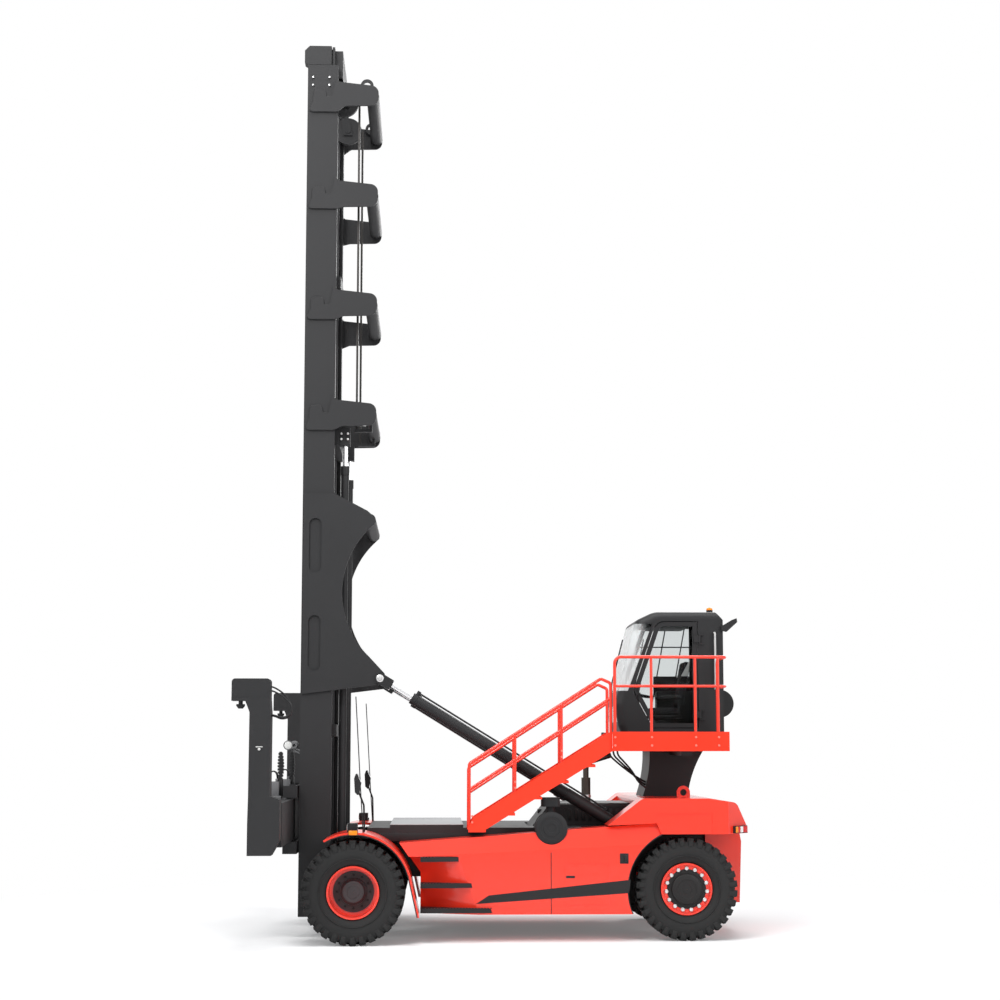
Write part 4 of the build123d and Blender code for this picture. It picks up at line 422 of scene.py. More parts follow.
# Boarding steps: folded black plate set into the flank behind the front wheel,
# with a row of punched grip teeth along the open edge of each tread.
dress(trim_black, "boarding_steps")
STEP_ROWS = [(1.110, 0.85, 1.02), (0.770, 0.62, 1.02), (0.447, 0.08, 1.02)]  # top, rear, front
TOOTH_PITCH, TOOTH_Y = 0.04, 1.700
for side_name, side in SIDES:
    teeth = []
    for top, rear, front in STEP_ROWS:
        for i in range(int((front - rear) / TOOTH_PITCH)):
            x = rear + 0.02 + TOOTH_PITCH * i
            teeth.append(flank_block("step_tooth", side, (x, TOOTH_Y - 0.014, top - 0.004),
                                     (x + 0.022, TOOTH_Y + 0.014, top + 0.007), edge=0.003, steps=1))
    finished(joined(f"step_teeth_{side_name}", teeth), trim_black, "chassis")


# Deck and hood: black deck steel round a raised slab whose top face and upper edge are painted light
# grey as a painted highlight, with a black skirt under each side edge, and a pressed black hood with
# louvres in its sides and a latch at its front.
def banded(name, low_paint, band_colour, axis, levels, rough=0.5, peel=0.1):
    paint = enamel(name, band_colour, rough=rough, peel=peel)
    air, wires = paint.node_tree.nodes, paint.node_tree.links
    where = air.new("ShaderNodeTexCoord")
    parts = air.new("ShaderNodeSeparateXYZ")
    wires.new(where.outputs["Object"], parts.inputs[0])
    above = air.new("ShaderNodeMath")
    above.operation = "GREATER_THAN"
    above.inputs[1].default_value = levels[0]
    below = air.new("ShaderNodeMath")
    below.operation = "LESS_THAN"
    below.inputs[1].default_value = levels[1]
    inside = air.new("ShaderNodeMath")
    inside.operation = "MULTIPLY"
    wires.new(parts.outputs[axis], above.inputs[0])
    wires.new(parts.outputs[axis], below.inputs[0])
    wires.new(above.outputs[0], inside.inputs[0])
    wires.new(below.outputs[0], inside.inputs[1])
    pick = air.new("ShaderNodeMix")
    pick.data_type = "RGBA"
    pick.inputs["A"].default_value = (*low_paint, 1)
    skin = air["Principled BSDF"]
    tinted = skin.inputs["Base Color"].links[0].from_socket
    wires.new(tinted, pick.inputs["B"])
    wires.new(inside.outputs[0], pick.inputs["Factor"])
    wires.new(pick.outputs["Result"], skin.inputs["Base Color"])
    return paint


# The slab's top face and upper edge are painted light grey: a painted highlight on the black deck steel.
deck_steel_lit_top = banded("deck_steel_lit_top", (0.022, 0.022, 0.023), (0.34, 0.345, 0.35), "Z", (1.5085, 2.0))
dress(deck_steel_lit_top, "deck_cover")
for side_name, side in SIDES:
    skirt = flank_block(f"deck_skirt_{side_name}", side, (-0.43, 1.130, 1.290), (1.74, 1.151, 1.400),
                        edge=0.004)
    finished(skirt, trim_black, "chassis")
dress(trim_black, "engine_hood", "cab_pedestal")
LOUVRE_X, LOUVRE_Y, LOUVRE_PITCH, LOUVRES = -1.70, 0.600, 0.095, 9
louvres = []
for side_name, side in SIDES:
    for i in range(LOUVRES):
        x = LOUVRE_X + LOUVRE_PITCH * i
        louvres.append(flank_block("hood_louvre", side, (x, LOUVRE_Y - 0.012, 1.545),
                                   (x + 0.05, LOUVRE_Y + 0.012, 1.70)))
latch = shaped_block("hood_latch", (-0.66, -0.05, 1.62), (-0.60, 0.05, 1.68), edge=0.008)
finished(joined("hood_louvres", louvres + [latch]), trim_black, "chassis")

# Air cleaner and exhaust: a moulded black canister with a clamped end cap and a strap,
# and a heat-stained steel stack with a clamp round its foot.
moulded_black = enamel("moulded_black", (0.018, 0.018, 0.019), cloud=0.75, rough=0.58, peel=0.12)
dress(moulded_black, "air_cleaner", "steering_column", "mirrors")
CLEANER = (-0.691, 0, 1.480)
CAP_SECTION = [(1.592, 0.206), (1.592, 0.214), (1.612, 0.214), (1.616, 0.200), (1.628, 0.170),
               (1.628, 0.150), (1.622, 0.145), (1.622, 0.110), (1.630, 0.105), (1.630, 0.060),
               (1.624, 0.055), (1.624, 0.001)]
STRAP_SECTION = [(1.34, 0.2055), (1.34, 0.211), (1.38, 0.211), (1.38, 0.2055)]
cap_rings = placed(lathe("cleaner_cap", CAP_SECTION, 64), CLEANER)
strap = placed(lathe("cleaner_strap", STRAP_SECTION, 64), CLEANER)
catch = shaped_block("cleaner_catch", (-0.715, 1.585, 1.262), (-0.667, 1.622, 1.280), edge=0.006)
finished(joined("cleaner_fittings", [cap_rings, strap, catch]), moulded_black, "chassis")
stack_steel = enamel("stack_steel", (0.10, 0.085, 0.075), cloud=0.55, rough=0.5, peel=0.08, metal=0.7)
dress(stack_steel, "exhaust_stack")
CLAMP_SECTION = [(-0.02, 0.0645), (-0.02, 0.071), (0.02, 0.071), (0.02, 0.0645)]
clamp = placed(lathe("stack_clamp_ring", CLAMP_SECTION, 48), (-1.291, 0, 1.86), (math.pi / 2, 0, 0))
finished(clamp, nut_steel, "chassis")

# Mast: rolled channels and welded plate in dark grey enamel, with black beads round the arm plates as
# painted shadow lines at the plate edges, and bright bolts at the head and on the rod beam. The leaf chains
# are oiled steel with a pin at every link; the lift rods are chromed.
mast_grey = enamel("mast_grey", (0.024, 0.024, 0.025), rough=0.52, shine=0.2)
dress(mast_grey, "outer_upright_left", "outer_upright_right", "arm_plates_left", "arm_plates_right",
      "cross_tubes", "inner_upright_left", "inner_upright_right", "inner_members", "carriage",
      "spreader_frame", "telescope_left", "telescope_right", "twistlock_left", "twistlock_right")
dress(trim_black, "lift_barrels", "tilt_barrel_left", "tilt_barrel_right")


def steel_pipe(name, route, radius):
    bpy.ops.object.select_all(action="DESELECT")
    bpy.ops.curve.primitive_nurbs_path_add(location=(0, 0, 0))
    line = bpy.context.object
    line.name = name
    run = line.data.splines[0]
    run.points.add(len(route) - len(run.points))
    for point, place in zip(run.points, route):
        point.co = (*place, 1)
    run.order_u = 3
    run.use_endpoint_u = True
    line.data.resolution_u = 6
    line.data.bevel_depth = radius
    line.data.bevel_resolution = 3
    line.data.use_fill_caps = True
    bpy.ops.object.convert(target="MESH")
    bpy.ops.object.shade_smooth_by_angle(angle=math.radians(60))
    return bpy.context.object


for side_name, side in SIDES:
    head_bolts = [hex_nut("mast_bolt", (x, side * 0.905, z), 0.030, 0.050)
                  for x in (2.388, 2.620) for z in (11.890, 12.006)]
    finished(joined(f"mast_head_bolts_{side_name}", head_bolts), nut_steel, "outer_mast")
    beam_bolts = [hex_nut("beam_bolt", (x, side * 0.716, z), 0.034, 0.024)
                  for x in (2.090, 2.180) for z in (6.838, 6.914)]
    finished(joined(f"rod_beam_bolts_{side_name}", beam_bolts), nut_steel, "inner_mast")
# Black beads along each arm plate's outline: painted shadow lines at the plate edges.
ARM_SHADE_LINES = [(11.500, 11.940), (10.090, 10.520), (8.500, 8.930), (6.930, 7.390)]  # low, high
ARM_FACE_Y = 0.902
for side_name, side in SIDES:
    shade_lines = []
    for low, high in ARM_SHADE_LINES:
        tongue = high - 0.115
        route = [(2.270, low), (2.45, low), (2.62, low), (2.672, low + 0.012), (2.645, low + 0.09),
                 (2.611, low + 0.18), (2.611, tongue - 0.05), (2.600, tongue - 0.003),
                 (2.526, tongue + 0.003), (2.450, tongue - 0.003), (2.436, tongue - 0.08),
                 (2.420, tongue - 0.112), (2.36, tongue - 0.10)]
        shade_lines.append(steel_pipe("arm_shade_line", [(x, side * ARM_FACE_Y, z) for x, z in route], 0.009))
    finished(joined(f"arm_shade_lines_{side_name}", shade_lines), trim_black, "outer_mast")
chain_steel = enamel("chain_steel", (0.055, 0.052, 0.050), cloud=0.6, rough=0.38, peel=0.2, metal=0.6)
dress(chain_steel, "chain_front", "chain_rear")
PIN_PITCH, CHAIN_Y = 0.076, 0.585


def repeated(piece, step, count):
    row = piece.modifiers.new("row", "ARRAY")
    row.use_relative_offset = False
    row.use_constant_offset = True
    row.constant_offset_displace = step
    row.count = count
    alone(piece)
    bpy.ops.object.modifier_apply(modifier="row")
    return piece


for strand_name, x, low, high in (("front", 2.408, 2.68, 11.72), ("rear", 1.974, 7.03, 11.72)):
    bpy.ops.object.select_all(action="DESELECT")
    bpy.ops.mesh.primitive_cylinder_add(vertices=6, radius=0.008, depth=0.062,
                                        location=(x, CHAIN_Y, low), rotation=(math.pi / 2, 0, 0))
    pins = bpy.context.object
    pins.name = f"chain_pins_{strand_name}"
    bpy.ops.object.transform_apply(location=True, rotation=True, scale=True)
    repeated(pins, (0, 0, PIN_PITCH), int((high - low) / PIN_PITCH))
    repeated(pins, (0, -2 * CHAIN_Y, 0), 2)
    finished(pins, chain_steel, "inner_mast")
rod_chrome = enamel("rod_chrome", (0.80, 0.80, 0.81), cloud=0.92, rough=0.16, peel=0.0, metal=1.0)
dress(rod_chrome, "lift_rods")

# Tilt cylinders: chromed rods that end in forged black yokes,
# each with a bright pin end and washer on both faces.
EYE_X, EYE_Y, EYE_Z = 1.609, 0.915, 3.485
yoke_chrome = enamel("yoke_chrome", (0.80, 0.80, 0.81), cloud=0.92, rough=0.2, peel=0.0)
air, wires = yoke_chrome.node_tree.nodes, yoke_chrome.node_tree.links
rod_where = air.new("ShaderNodeTexCoord")
eye_shift = air.new("ShaderNodeVectorMath")
eye_shift.operation = "SUBTRACT"
eye_shift.inputs[1].default_value = (EYE_X, 0, EYE_Z)
eye_flat = air.new("ShaderNodeVectorMath")
eye_flat.operation = "MULTIPLY"
eye_flat.inputs[1].default_value = (1, 0, 1)
eye_reach = air.new("ShaderNodeVectorMath")
eye_reach.operation = "LENGTH"
on_rod = air.new("ShaderNodeMath")
on_rod.operation = "GREATER_THAN"
on_rod.inputs[1].default_value = 0.192
yoke_pick = air.new("ShaderNodeMix")
yoke_pick.data_type = "RGBA"
yoke_pick.inputs["A"].default_value = (0.02, 0.02, 0.021, 1)
wires.new(rod_where.outputs["Object"], eye_shift.inputs[0])
wires.new(eye_shift.outputs[0], eye_flat.inputs[0])
wires.new(eye_flat.outputs[0], eye_reach.inputs[0])
wires.new(eye_reach.outputs["Value"], on_rod.inputs[0])
rod_skin = air["Principled BSDF"]
wires.new(rod_skin.inputs["Base Color"].links[0].from_socket, yoke_pick.inputs["B"])
wires.new(on_rod.outputs[0], yoke_pick.inputs["Factor"])
wires.new(on_rod.outputs[0], rod_skin.inputs["Metallic"])
wires.new(yoke_pick.outputs["Result"], rod_skin.inputs["Base Color"])
dress(yoke_chrome, "tilt_rod_left", "tilt_rod_right")
WASHER_SECTION = [(0.046, 0.030), (0.046, 0.050), (0.054, 0.050), (0.056, 0.046), (0.056, 0.030),
                  (0.062, 0.026), (0.062, 0.001)]
washer = lathe("yoke_washer", WASHER_SECTION, 40)
for side_name, side in SIDES:
    eye = (EYE_X, side * EYE_Y, EYE_Z)
    ends = [copied(washer, "washer_out", eye), copied(washer, "washer_in", eye, (0, 0, math.pi))]
    finished(joined(f"yoke_washers_{side_name}", ends), nut_steel, f"tilt_piston_{side_name}")
bpy.data.objects.remove(washer)

# Spreader kit: a valve stack, steel pipes and a jointed cable carrier stand on the spreader's box,
# and a work lamp hangs on a bracket at each side of the carriage.
cast_grey = enamel("cast_grey", (0.16, 0.16, 0.165), cloud=0.7, rough=0.5)
SECTION_PITCH, LINK_PITCH, LINKS = 0.055, 0.042, 9
LAMP_X, LAMP_Y, LAMP_Z = 2.880, 0.525, 2.575
CAN_SECTION = [(-0.035, 0.020), (-0.035, 0.045), (0.0, 0.062), (0.035, 0.066), (0.045, 0.066),
               (0.045, 0.058), (0.036, 0.001)]
for side_name, side in SIDES:
    low_y, high_y = sorted((side * 0.80, side * 1.12))
    mid_y = side * 0.96
    stack = [shaped_block("valve_base", (2.925, low_y, 1.850), (3.145, high_y, 1.895), edge=0.006)]
    for i in range(5):
        section_y = low_y + 0.03 + SECTION_PITCH * i
        stack.append(shaped_block("valve_section", (2.955, section_y, 1.890),
                                  (3.095, section_y + 0.048, 2.085), edge=0.008))
        stack.append(shaped_block("valve_coil", (3.095, section_y + 0.006, 1.930),
                                  (3.160, section_y + 0.042, 1.975), edge=0.01))
        stack.append(shaped_block("valve_port", (2.975, section_y + 0.010, 2.080),
                                  (3.003, section_y + 0.038, 2.125), edge=0.006))
    finished(joined(f"valve_stack_{side_name}", stack), cast_grey, "spreader")
    pipes = []
    for i in range(3):
        port_y, out_y = low_y + 0.054 + SECTION_PITCH * i, low_y + 0.07 + SECTION_PITCH * i
        route = [(2.989, port_y, 2.11), (2.989, port_y, 2.20), (3.06, out_y, 2.235),
                 (3.125, out_y, 2.16), (3.135, out_y, 1.99), (3.120, out_y, 1.885)]
        pipes.append(steel_pipe("valve_pipe", route, 0.009))
    finished(joined(f"valve_pipes_{side_name}", pipes), trim_black, "spreader")
    links = []
    for i in range(LINKS):
        lean = 0.055 * math.sin(i / (LINKS - 1) * math.pi)
        z = 2.105 + LINK_PITCH * i
        links.append(shaped_block("carrier_link", (2.917 - 0.30 * lean, mid_y - 0.05, z),
                                  (2.974 + 0.2 * lean, mid_y + 0.05, z + 0.034), edge=0.008))
        links.append(shaped_block("carrier_rib", (2.930 - 0.30 * lean, mid_y - 0.054, z + 0.026),
                                  (2.962, mid_y + 0.054, z + 0.046), edge=0.004))
    links.append(shaped_block("carrier_foot", (2.912, mid_y - 0.055, 1.893), (2.969, mid_y + 0.055, 2.11),
                              edge=0.006))
    finished(joined(f"cable_carrier_{side_name}", links), moulded_black, "spreader")
    lamp_y = side * LAMP_Y
    arm = steel_pipe("lamp_arm", [(2.700, lamp_y, 2.46), (2.745, lamp_y, 2.47), (2.80, lamp_y, 2.50),
                                  (2.85, lamp_y, 2.53), (LAMP_X, lamp_y, LAMP_Z)], 0.012)
    can = placed(lathe("lamp_can", CAN_SECTION, 32), (LAMP_X, lamp_y, LAMP_Z), facing(side))
    finished(joined(f"carriage_lamp_{side_name}", [can, arm]), cast_grey, "carriage_frame")

# Spreader ends: two bent steel pipes feed each corner lock from the post, and a small plain plate
# with a grease nipple sits on the post's outer face.
pale_plate = enamel("pale_plate", (0.62, 0.62, 0.60), cloud=0.85, rough=0.45)
FEED_Y, MARK_Y = 2.90, 3.031
NIPPLE_X, NIPPLE_Y, NIPPLE_Z = 3.037, 3.030, 2.522
NIPPLE_SECTION = [(0, 0.017), (0.008, 0.017), (0.011, 0.010), (0.020, 0.008), (0.020, 0.001)]
for side_name, side in SIDES:
    feeds = []
    for i in range(2):
        y = side * FEED_Y + 0.03 * i
        route = [(2.905, y, 3.30 - 0.05 * i), (2.86, y, 3.29 - 0.05 * i), (2.73, y, 3.20 - 0.04 * i),
                 (2.645, y, 3.06), (2.66, y, 2.93 + 0.02 * i), (2.77, y, 2.89 + 0.02 * i),
                 (2.86, y, 2.935 + 0.01 * i), (2.91, y, 2.94 + 0.01 * i)]
        feeds.append(steel_pipe("feed_pipe", route, 0.011))
    finished(joined(f"lock_feed_{side_name}", feeds), trim_black, f"spreader_end_{side_name}")
    mark = flank_block("post_mark", side, (2.995, MARK_Y - 0.003, 2.545), (3.08, MARK_Y + 0.003, 2.557),
                       edge=0.002)
    nipple = placed(lathe("post_nipple", NIPPLE_SECTION, 16), (NIPPLE_X, side * NIPPLE_Y, NIPPLE_Z),
                    facing(side))
    finished(joined(f"post_plate_{side_name}", [mark, nipple]), pale_plate, f"spreader_end_{side_name}")

# Stairs and platform: red stringers, toe board and handrails, black treads with a rubber nosing,
# a studded black mat on the platform, and pairs of bolts at the foot of each rail post, their heads
# painted pale pink as a painted glint.
stair_paint = banded("stair_paint", (0.85, 0.038, 0.013), (0.022, 0.022, 0.023), "Y", (1.0655, 1.5945))
dress(stair_paint, "access_stairs")
platform_paint = banded("platform_paint", (0.018, 0.018, 0.019), (0.85, 0.038, 0.013), "Z", (2.494, 3.0),
                        rough=0.36, peel=0.015)
dress(platform_paint, "platform")
dress(body_red, "platform_rails", "stair_rails")
STAIR_FOOT_X, STAIR_FOOT_Z = 0.279, 1.470
STAIR_RUN, STAIR_RISE, RISERS = 1.785, 1.060, 5
treads = []
for i in range(1, RISERS):
    x = STAIR_FOOT_X - STAIR_RUN * i / RISERS
    z = STAIR_FOOT_Z + STAIR_RISE * i / RISERS
    treads.append(shaped_block("tread_mat", (x - 0.125, 1.075, z - 0.001), (x + 0.115, 1.585, z + 0.006),
                               edge=0.004))
    treads.append(shaped_block("tread_nose", (x + 0.112, 1.070, z - 0.030), (x + 0.136, 1.590, z + 0.008),
                               edge=0.006))
finished(joined("stair_treads", treads), trim_black, "chassis")
mat = shaped_block("platform_mat", (-3.045, 0.70, 2.529), (-1.530, 1.60, 2.535), edge=0.003)
studs = shaped_block("mat_stud", (-3.02, 0.73, 2.534), (-2.985, 0.742, 2.539), edge=0.002, steps=1)
for stud_step in ((0.075, 0, 0), (0, 0.045, 0)):
    repeated(studs, stud_step, 19)
finished(joined("platform_tread_mat", [mat, studs]), trim_black, "chassis")
bolts = [hex_nut("rail_bolt", (x, 1.664, z), 0.034, 0.018)
         for x in (-1.541, -2.031, -2.621, -2.928) for z in (2.57, 2.68)]
# Pale pink bolt heads on the toe board and stringers: a painted glint.
bolt_glint = enamel("bolt_glint", (0.80, 0.20, 0.15), rough=0.4)
finished(joined("toe_board_bolts", bolts), bolt_glint, "chassis")
STAIR_BOLTS = [(0.36, 1.56), (0.36, 1.64), (-0.211, 2.01), (-0.211, 2.09), (-0.831, 2.42), (-0.831, 2.50)]
bolts = [hex_nut("stair_bolt", (x, 1.624, z), 0.034, 0.018) for x, z in STAIR_BOLTS]
finished(joined("stringer_bolts", bolts), bolt_glint, "chassis")
service = []
for i in range(3):
    y = 0.26 + 0.07 * i
    route = [(-1.60 - 0.05 * i, y, 2.497), (-1.60 - 0.05 * i, y, 2.44), (-1.68 - 0.05 * i, y, 2.36),
             (-1.88 - 0.02 * i, y, 2.20), (-2.00, y, 2.12 - 0.04 * i), (-2.11, y, 2.06 - 0.04 * i)]
    service.append(steel_pipe("service_pipe", route, 0.013))
finished(joined("platform_pipes", service), trim_black, "chassis")

# Cab: a welded black shell. A light grab tube stands behind the door, a lever handle sits on the
# door's front edge, a wiper is parked on the windscreen and a work lamp stands on the platform.
dress(trim_black, "cab_shell", "cab_door")
pale_tube = enamel("pale_tube", (0.50, 0.50, 0.49), cloud=0.85, rough=0.35)
grab = steel_pipe("cab_grab", [(-3.044, 0.655, 3.36), (-3.044, 0.715, 3.36), (-3.044, 0.725, 3.40),
                               (-3.044, 0.725, 3.75), (-3.044, 0.725, 4.10), (-3.044, 0.715, 4.14),
                               (-3.044, 0.655, 4.14)], 0.014)
finished(grab, pale_tube, "chassis")
lever = steel_pipe("door_lever", [(-1.962, 0.655, 3.26), (-1.962, 0.695, 3.26), (-1.968, 0.700, 3.30),
                                  (-1.99, 0.700, 3.40), (-2.0, 0.660, 3.44)], 0.011)
lever_plate = shaped_block("lever_plate", (-1.985, 0.656, 3.23), (-1.935, 0.668, 3.31), edge=0.004)
finished(joined("door_handle", [lever, lever_plate]), moulded_black, "door")
wiper = steel_pipe("wiper_arm", [(-1.672, 0.05, 3.33), (-1.652, 0.05, 3.36), (-1.660, 0.07, 3.45),
                                 (-1.702, 0.11, 3.63), (-1.757, 0.16, 3.84)], 0.009)
blade = steel_pipe("wiper_blade", [(-1.692, 0.15, 3.60), (-1.720, 0.152, 3.71), (-1.748, 0.155, 3.82),
                                   (-1.780, 0.158, 3.95), (-1.812, 0.16, 4.07)], 0.010)
finished(joined("screen_wiper", [wiper, blade]), moulded_black, "chassis")
WORK_SECTION = [(-0.05, 0.015), (-0.05, 0.035), (0.0, 0.050), (0.030, 0.052), (0.036, 0.046),
                (0.030, 0.001)]
nose_lamp = placed(lathe("work_lamp", WORK_SECTION, 32), (-1.470, 0.85, 2.700), (0, 0, -math.pi / 2))
lamp_foot = shaped_block("lamp_foot", (-1.512, 0.825, 2.510), (-1.488, 0.875, 2.700), edge=0.006)
finished(joined("platform_work_lamp", [nose_lamp, lamp_foot]), moulded_black, "chassis")


# Glass: toughened cab panes, clear in the door and at the sides.
# The bent windscreen turns a streaked pale grey towards the front: a painted reflection.
def window_glass(name, glare_strength):
    glass = bpy.data.materials.new(name)
    glass.use_nodes = True
    air, wires = glass.node_tree.nodes, glass.node_tree.links
    skin = air["Principled BSDF"]
    skin.inputs["Base Color"].default_value = (0.80, 0.82, 0.82, 1)
    skin.inputs["IOR"].default_value = 1.1
    where = air.new("ShaderNodeTexCoord")
    stretch = air.new("ShaderNodeMapping")
    stretch.inputs["Scale"].default_value = (2.2, 2.2, 0.7)
    glare_streak = air.new("ShaderNodeTexNoise")
    glare_streak.inputs["Scale"].default_value = 2.2
    glare_streak.inputs["Detail"].default_value = 1.5
    parts = air.new("ShaderNodeSeparateXYZ")
    # Towards the front the pane loses clarity in pale grey streaks: a painted reflection on the bent
    # screen.
    front = air.new("ShaderNodeMapRange")
    front.inputs["From Min"].default_value = -2.10
    front.inputs["From Max"].default_value = -1.90
    glare_mask = air.new("ShaderNodeMath")
    glare_mask.operation = "MULTIPLY"
    clear = air.new("ShaderNodeMapRange")
    clear.inputs["To Min"].default_value = 1.0
    clear.inputs["To Max"].default_value = 1.0 - glare_strength
    gloss = air.new("ShaderNodeMapRange")
    gloss.inputs["To Min"].default_value = 0.02
    gloss.inputs["To Max"].default_value = 0.10
    wires.new(where.outputs["Object"], stretch.inputs["Vector"])
    wires.new(stretch.outputs["Vector"], glare_streak.inputs["Vector"])
    wires.new(where.outputs["Object"], parts.inputs[0])
    wires.new(parts.outputs["X"], front.inputs["Value"])
    wires.new(front.outputs["Result"], glare_mask.inputs[0])
    wires.new(glare_streak.outputs["Fac"], glare_mask.inputs[1])
    wires.new(glare_mask.outputs[0], clear.inputs["Value"])
    wires.new(glare_streak.outputs["Fac"], gloss.inputs["Value"])
    wires.new(clear.outputs["Result"], skin.inputs["Transmission Weight"])
    wires.new(gloss.outputs["Result"], skin.inputs["Roughness"])
    return glass


# The cab panes carry the painted reflection; the door pane carries none.
dress(window_glass("cab_pane", 0.75), "cab_glass")
dress(window_glass("door_pane", 0.0), "door_glass")

# Seat: a cloth-covered cushion and backrest stuffed with foam, on a moulded suspension box,
# with a small pale wing and a moulded armrest on each side.
seat_cloth = enamel("seat_cloth", (0.030, 0.030, 0.032), cloud=0.6, rough=0.92, peel=0.0)
air, wires = seat_cloth.node_tree.nodes, seat_cloth.node_tree.links
cloth_where = air.new("ShaderNodeTexCoord")
weave = air.new("ShaderNodeTexWave")
weave.bands_direction = "Y"
weave.inputs["Scale"].default_value = 120
weave.inputs["Distortion"].default_value = 1.5
cloth_bump = air.new("ShaderNodeBump")
cloth_bump.inputs["Strength"].default_value = 0.35
cloth_bump.inputs["Distance"].default_value = 0.002
wires.new(cloth_where.outputs["Object"], weave.inputs["Vector"])
wires.new(weave.outputs["Fac"], cloth_bump.inputs["Height"])
wires.new(cloth_bump.outputs["Normal"], air["Principled BSDF"].inputs["Normal"])


def plumped(pad, cap):
    alone(pad)
    pad.data.remesh_voxel_size = 0.011
    bpy.ops.object.voxel_remesh()
    stuffing = pad.modifiers.new("stuffing", "CLOTH")
    stuffing.settings.quality = 4
    stuffing.settings.use_pressure = True
    stuffing.settings.uniform_pressure_force = 4
    stuffing.settings.effector_weights.gravity = 0
    for step in range(1, 21):
        bpy.context.scene.frame_set(step)
    swelled = pad.evaluated_get(bpy.context.evaluated_depsgraph_get()).data
    moves = [after.co - before.co for before, after in zip(pad.data.vertices, swelled.vertices)]
    pad.modifiers.remove(stuffing)
    bpy.context.scene.frame_set(1)
    for point, move in zip(pad.data.vertices, moves):
        point.co += move * min(1.0, cap / max(move.length, 1e-9))
    smooth = pad.modifiers.new("foam", "SMOOTH")
    smooth.iterations = 6
    bpy.ops.object.modifier_apply(modifier="foam")
    bpy.ops.object.shade_smooth()
    return pad


SEAT_X, SEAT_Z = -2.651, 2.990
SWELL, RECLINE = 0.012, 0.17
cushion = plumped(shaped_block("seat_cushion", (SEAT_X + 0.02, -0.235, SEAT_Z + 0.005),
                               (SEAT_X + 0.485, 0.235, SEAT_Z + 0.105), edge=0.035, steps=3), SWELL)
backrest = shaped_block("seat_back", (SEAT_X - 0.005, -0.215, SEAT_Z + 0.12),
                        (SEAT_X + 0.085, 0.215, SEAT_Z + 0.79), edge=0.035, steps=3)
turned(backrest, RECLINE, "Y", (SEAT_X + 0.05, 0, SEAT_Z + 0.10))
backrest = plumped(backrest, SWELL)
for pad in (cushion, backrest):
    finished(pad, seat_cloth, "chassis")
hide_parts("operator_seat")
box = [shaped_block("seat_box", (SEAT_X + 0.05, -0.19, 2.580), (SEAT_X + 0.43, 0.19, 2.62), edge=0.008)]
for i in range(6):
    inset = 0.015 if i % 2 else 0.0
    box.append(shaped_block("seat_bellows", (SEAT_X + 0.06 + inset, -0.18 + inset, 2.615 + 0.058 * i),
                            (SEAT_X + 0.42 - inset, 0.18 - inset, 2.680 + 0.058 * i), edge=0.012))
box.append(shaped_block("seat_pan", (SEAT_X + 0.01, -0.225, 2.955), (SEAT_X + 0.48, 0.225, 2.998),
                        edge=0.012))
finished(joined("seat_suspension", box), moulded_black, "chassis")
WING = [(SEAT_X - 0.075, SEAT_Z + 0.56), (SEAT_X - 0.11, SEAT_Z + 0.80), (SEAT_X + 0.02, SEAT_Z + 0.56)]
for side_name, side in SIDES:
    wing = flank_plate(f"seat_wing_{side_name}", WING, side * 0.232, side * 0.014)
    finished(wing, pale_tube, "chassis")
    rest = flank_block("armrest_pad", side, (SEAT_X + 0.03, 0.250, SEAT_Z + 0.235),
                       (SEAT_X + 0.33, 0.320, SEAT_Z + 0.285), edge=0.018, steps=3)
    stalk = flank_block("armrest_stalk", side, (SEAT_X + 0.03, 0.247, SEAT_Z + 0.02),
                        (SEAT_X + 0.075, 0.277, SEAT_Z + 0.26), edge=0.008)
    finished(joined(f"armrest_{side_name}", [rest, stalk]), moulded_black, "chassis")

# Cab fittings: a moulded dash under the windscreen, a console and trim along the right wall,
# an overhead console and a rubber floor mat.
dash = shaped_block("dash_top", (-2.02, -0.52, 3.11), (-1.80, 0.40, 3.20), edge=0.03, steps=3)
dash_leg = shaped_block("dash_leg", (-1.95, -0.50, 2.60), (-1.86, 0.10, 3.13), edge=0.02)
console = shaped_block("side_console", (-3.05, -0.605, 2.60), (-2.36, -0.37, 3.36), edge=0.03, steps=3)
sill = shaped_block("window_sill", (-3.05, -0.612, 3.30), (-2.34, -0.580, 3.58), edge=0.008)
quarter = shaped_block("quarter_trim", (-3.08, -0.612, 3.30), (-2.87, -0.580, 4.28), edge=0.008)
overhead = shaped_block("roof_console", (-2.75, -0.50, 4.235), (-2.15, 0.50, 4.335), edge=0.025, steps=3)
cab_mat = shaped_block("cab_mat", (-3.08, -0.57, 2.580), (-1.95, 0.57, 2.592), edge=0.004)
finished(joined("cab_fittings", [dash, dash_leg, console, sill, quarter, overhead, cab_mat]), moulded_black,
         "chassis")


# Lamps and mirrors: moulded black boxes with ribbed clear, orange and red lenses, an orange beacon,
# silvered glass set in the mirror heads, and a thin marker pole beside each mirror.
def lens_plastic(name, colour):
    lens = enamel(name, colour, cloud=0.85, rough=0.22, peel=0.0)
    air, wires = lens.node_tree.nodes, lens.node_tree.links
    where = air.new("ShaderNodeTexCoord")
    ribs = air.new("ShaderNodeTexWave")
    ribs.bands_direction = "Z"
    ribs.inputs["Scale"].default_value = 45
    relief = air.new("ShaderNodeBump")
    relief.inputs["Strength"].default_value = 0.4
    relief.inputs["Distance"].default_value = 0.002
    wires.new(where.outputs["Object"], ribs.inputs["Vector"])
    wires.new(ribs.outputs["Fac"], relief.inputs["Height"])
    wires.new(relief.outputs["Normal"], air["Principled BSDF"].inputs["Normal"])
    return lens


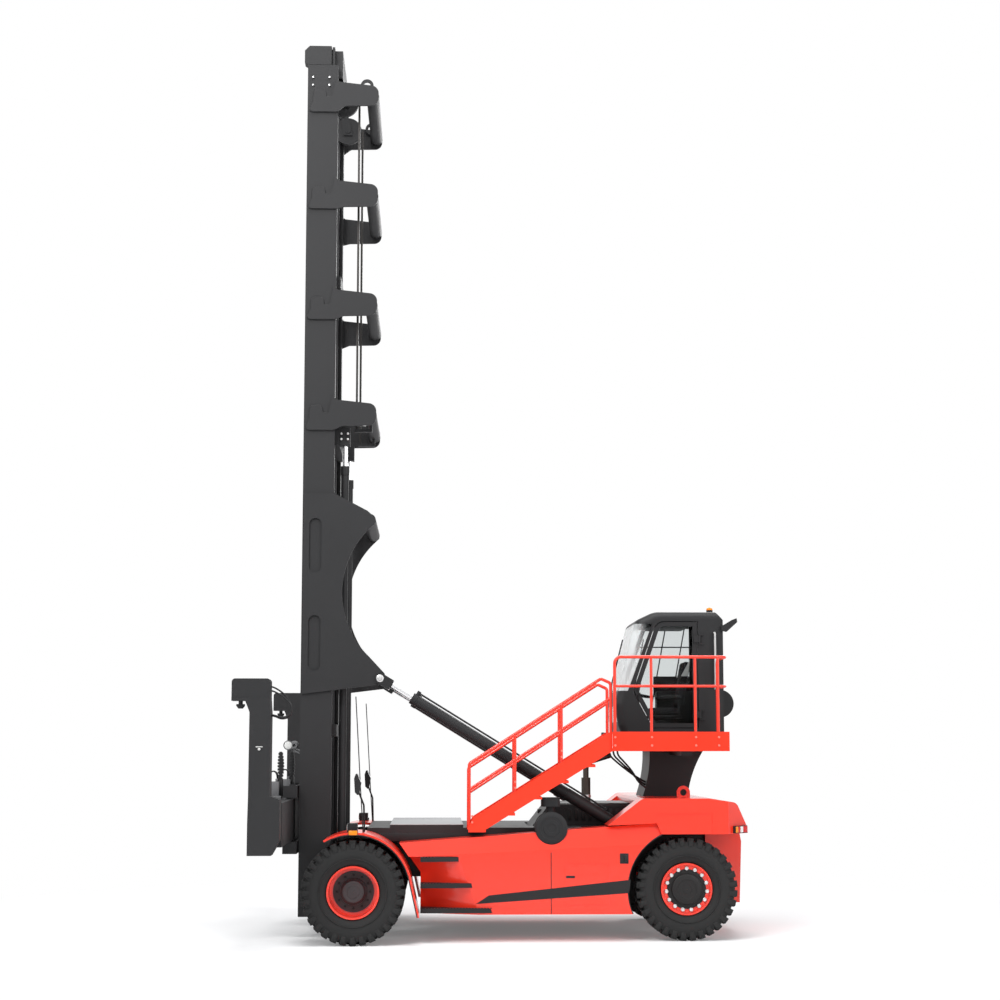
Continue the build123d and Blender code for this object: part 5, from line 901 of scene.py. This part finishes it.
dress(moulded_black, "lamps")
amber = lens_plastic("lens_amber", (0.90, 0.26, 0.015))
ruby = lens_plastic("lens_ruby", (0.62, 0.012, 0.012))
frosted = lens_plastic("lens_frosted", (0.82, 0.82, 0.80))
TAIL_X, TAIL_Y, TAIL_Z = -3.216, 1.45, 1.455
LENS_Y, MIRROR_TILT = 0.565, -0.375
TAIL_LENSES = [("amber", 0.090, 0.146, amber), ("brake", 0.036, 0.086, ruby),
               ("reverse", -0.034, 0.032, frosted), ("tail", -0.146, -0.038, ruby)]
tail_angle = math.atan2(0.400, 0.350)
for side_name, side in SIDES:
    for lens_name, x0, x1, lens in TAIL_LENSES:
        pane = flank_block(f"tail_lens_{lens_name}_{side_name}", side, (x0, 0.038, -0.040),
                           (x1, 0.047, 0.040), edge=0.005)
        placed(pane, (TAIL_X, side * TAIL_Y, TAIL_Z), (0, 0, side * tail_angle))
        finished(pane, lens, "chassis")
    turn_lens = flank_block(f"fender_lens_{side_name}", side, (1.853, 2.070, 1.418),
                            (1.965, 2.080, 1.476), edge=0.005)
    finished(turn_lens, amber, "chassis")
    head_lens = flank_block(f"head_lens_{side_name}", side, (1.984, 1.765, 1.468),
                            (1.996, 1.945, 1.545), edge=0.006)
    finished(head_lens, frosted, "chassis")
    lens_face = lathe(f"carriage_lamp_lens_{side_name}", [(0.0, 0.057), (0.006, 0.050), (0.010, 0.001)], 32)
    placed(lens_face, (LAMP_X, side * LENS_Y, LAMP_Z), facing(side))
    finished(lens_face, frosted, "carriage_frame")
DOME_SECTION = [(0.0, 0.044), (0.012, 0.044), (0.030, 0.038), (0.040, 0.024), (0.044, 0.001)]
beacon = placed(lathe("beacon_lens", DOME_SECTION, 32), (-3.021, 0.4, 4.472), (math.pi / 2, 0, 0))
finished(beacon, amber, "chassis")
silver = enamel("mirror_silver", (0.85, 0.86, 0.87), cloud=0.97, rough=0.06, peel=0.0, metal=1.0)
for side_name, side in SIDES:
    glass = flank_block(f"mirror_glass_{side_name}", side, (1.816, 1.705, 2.092), (1.822, 1.868, 2.212),
                        edge=0.002)
    turned(glass, MIRROR_TILT, "Y", (1.819, side * 1.785, 2.084))
    finished(glass, silver, "chassis")
    pole = steel_pipe(f"marker_pole_{side_name}",
                      [(1.790, side * 1.80, 1.43), (1.800, side * 1.80, 1.60), (1.830, side * 1.80, 2.05),
                       (1.862, side * 1.80, 2.60), (1.899, side * 1.80, 3.21)], 0.007)
    finished(pole, moulded_black, "chassis")
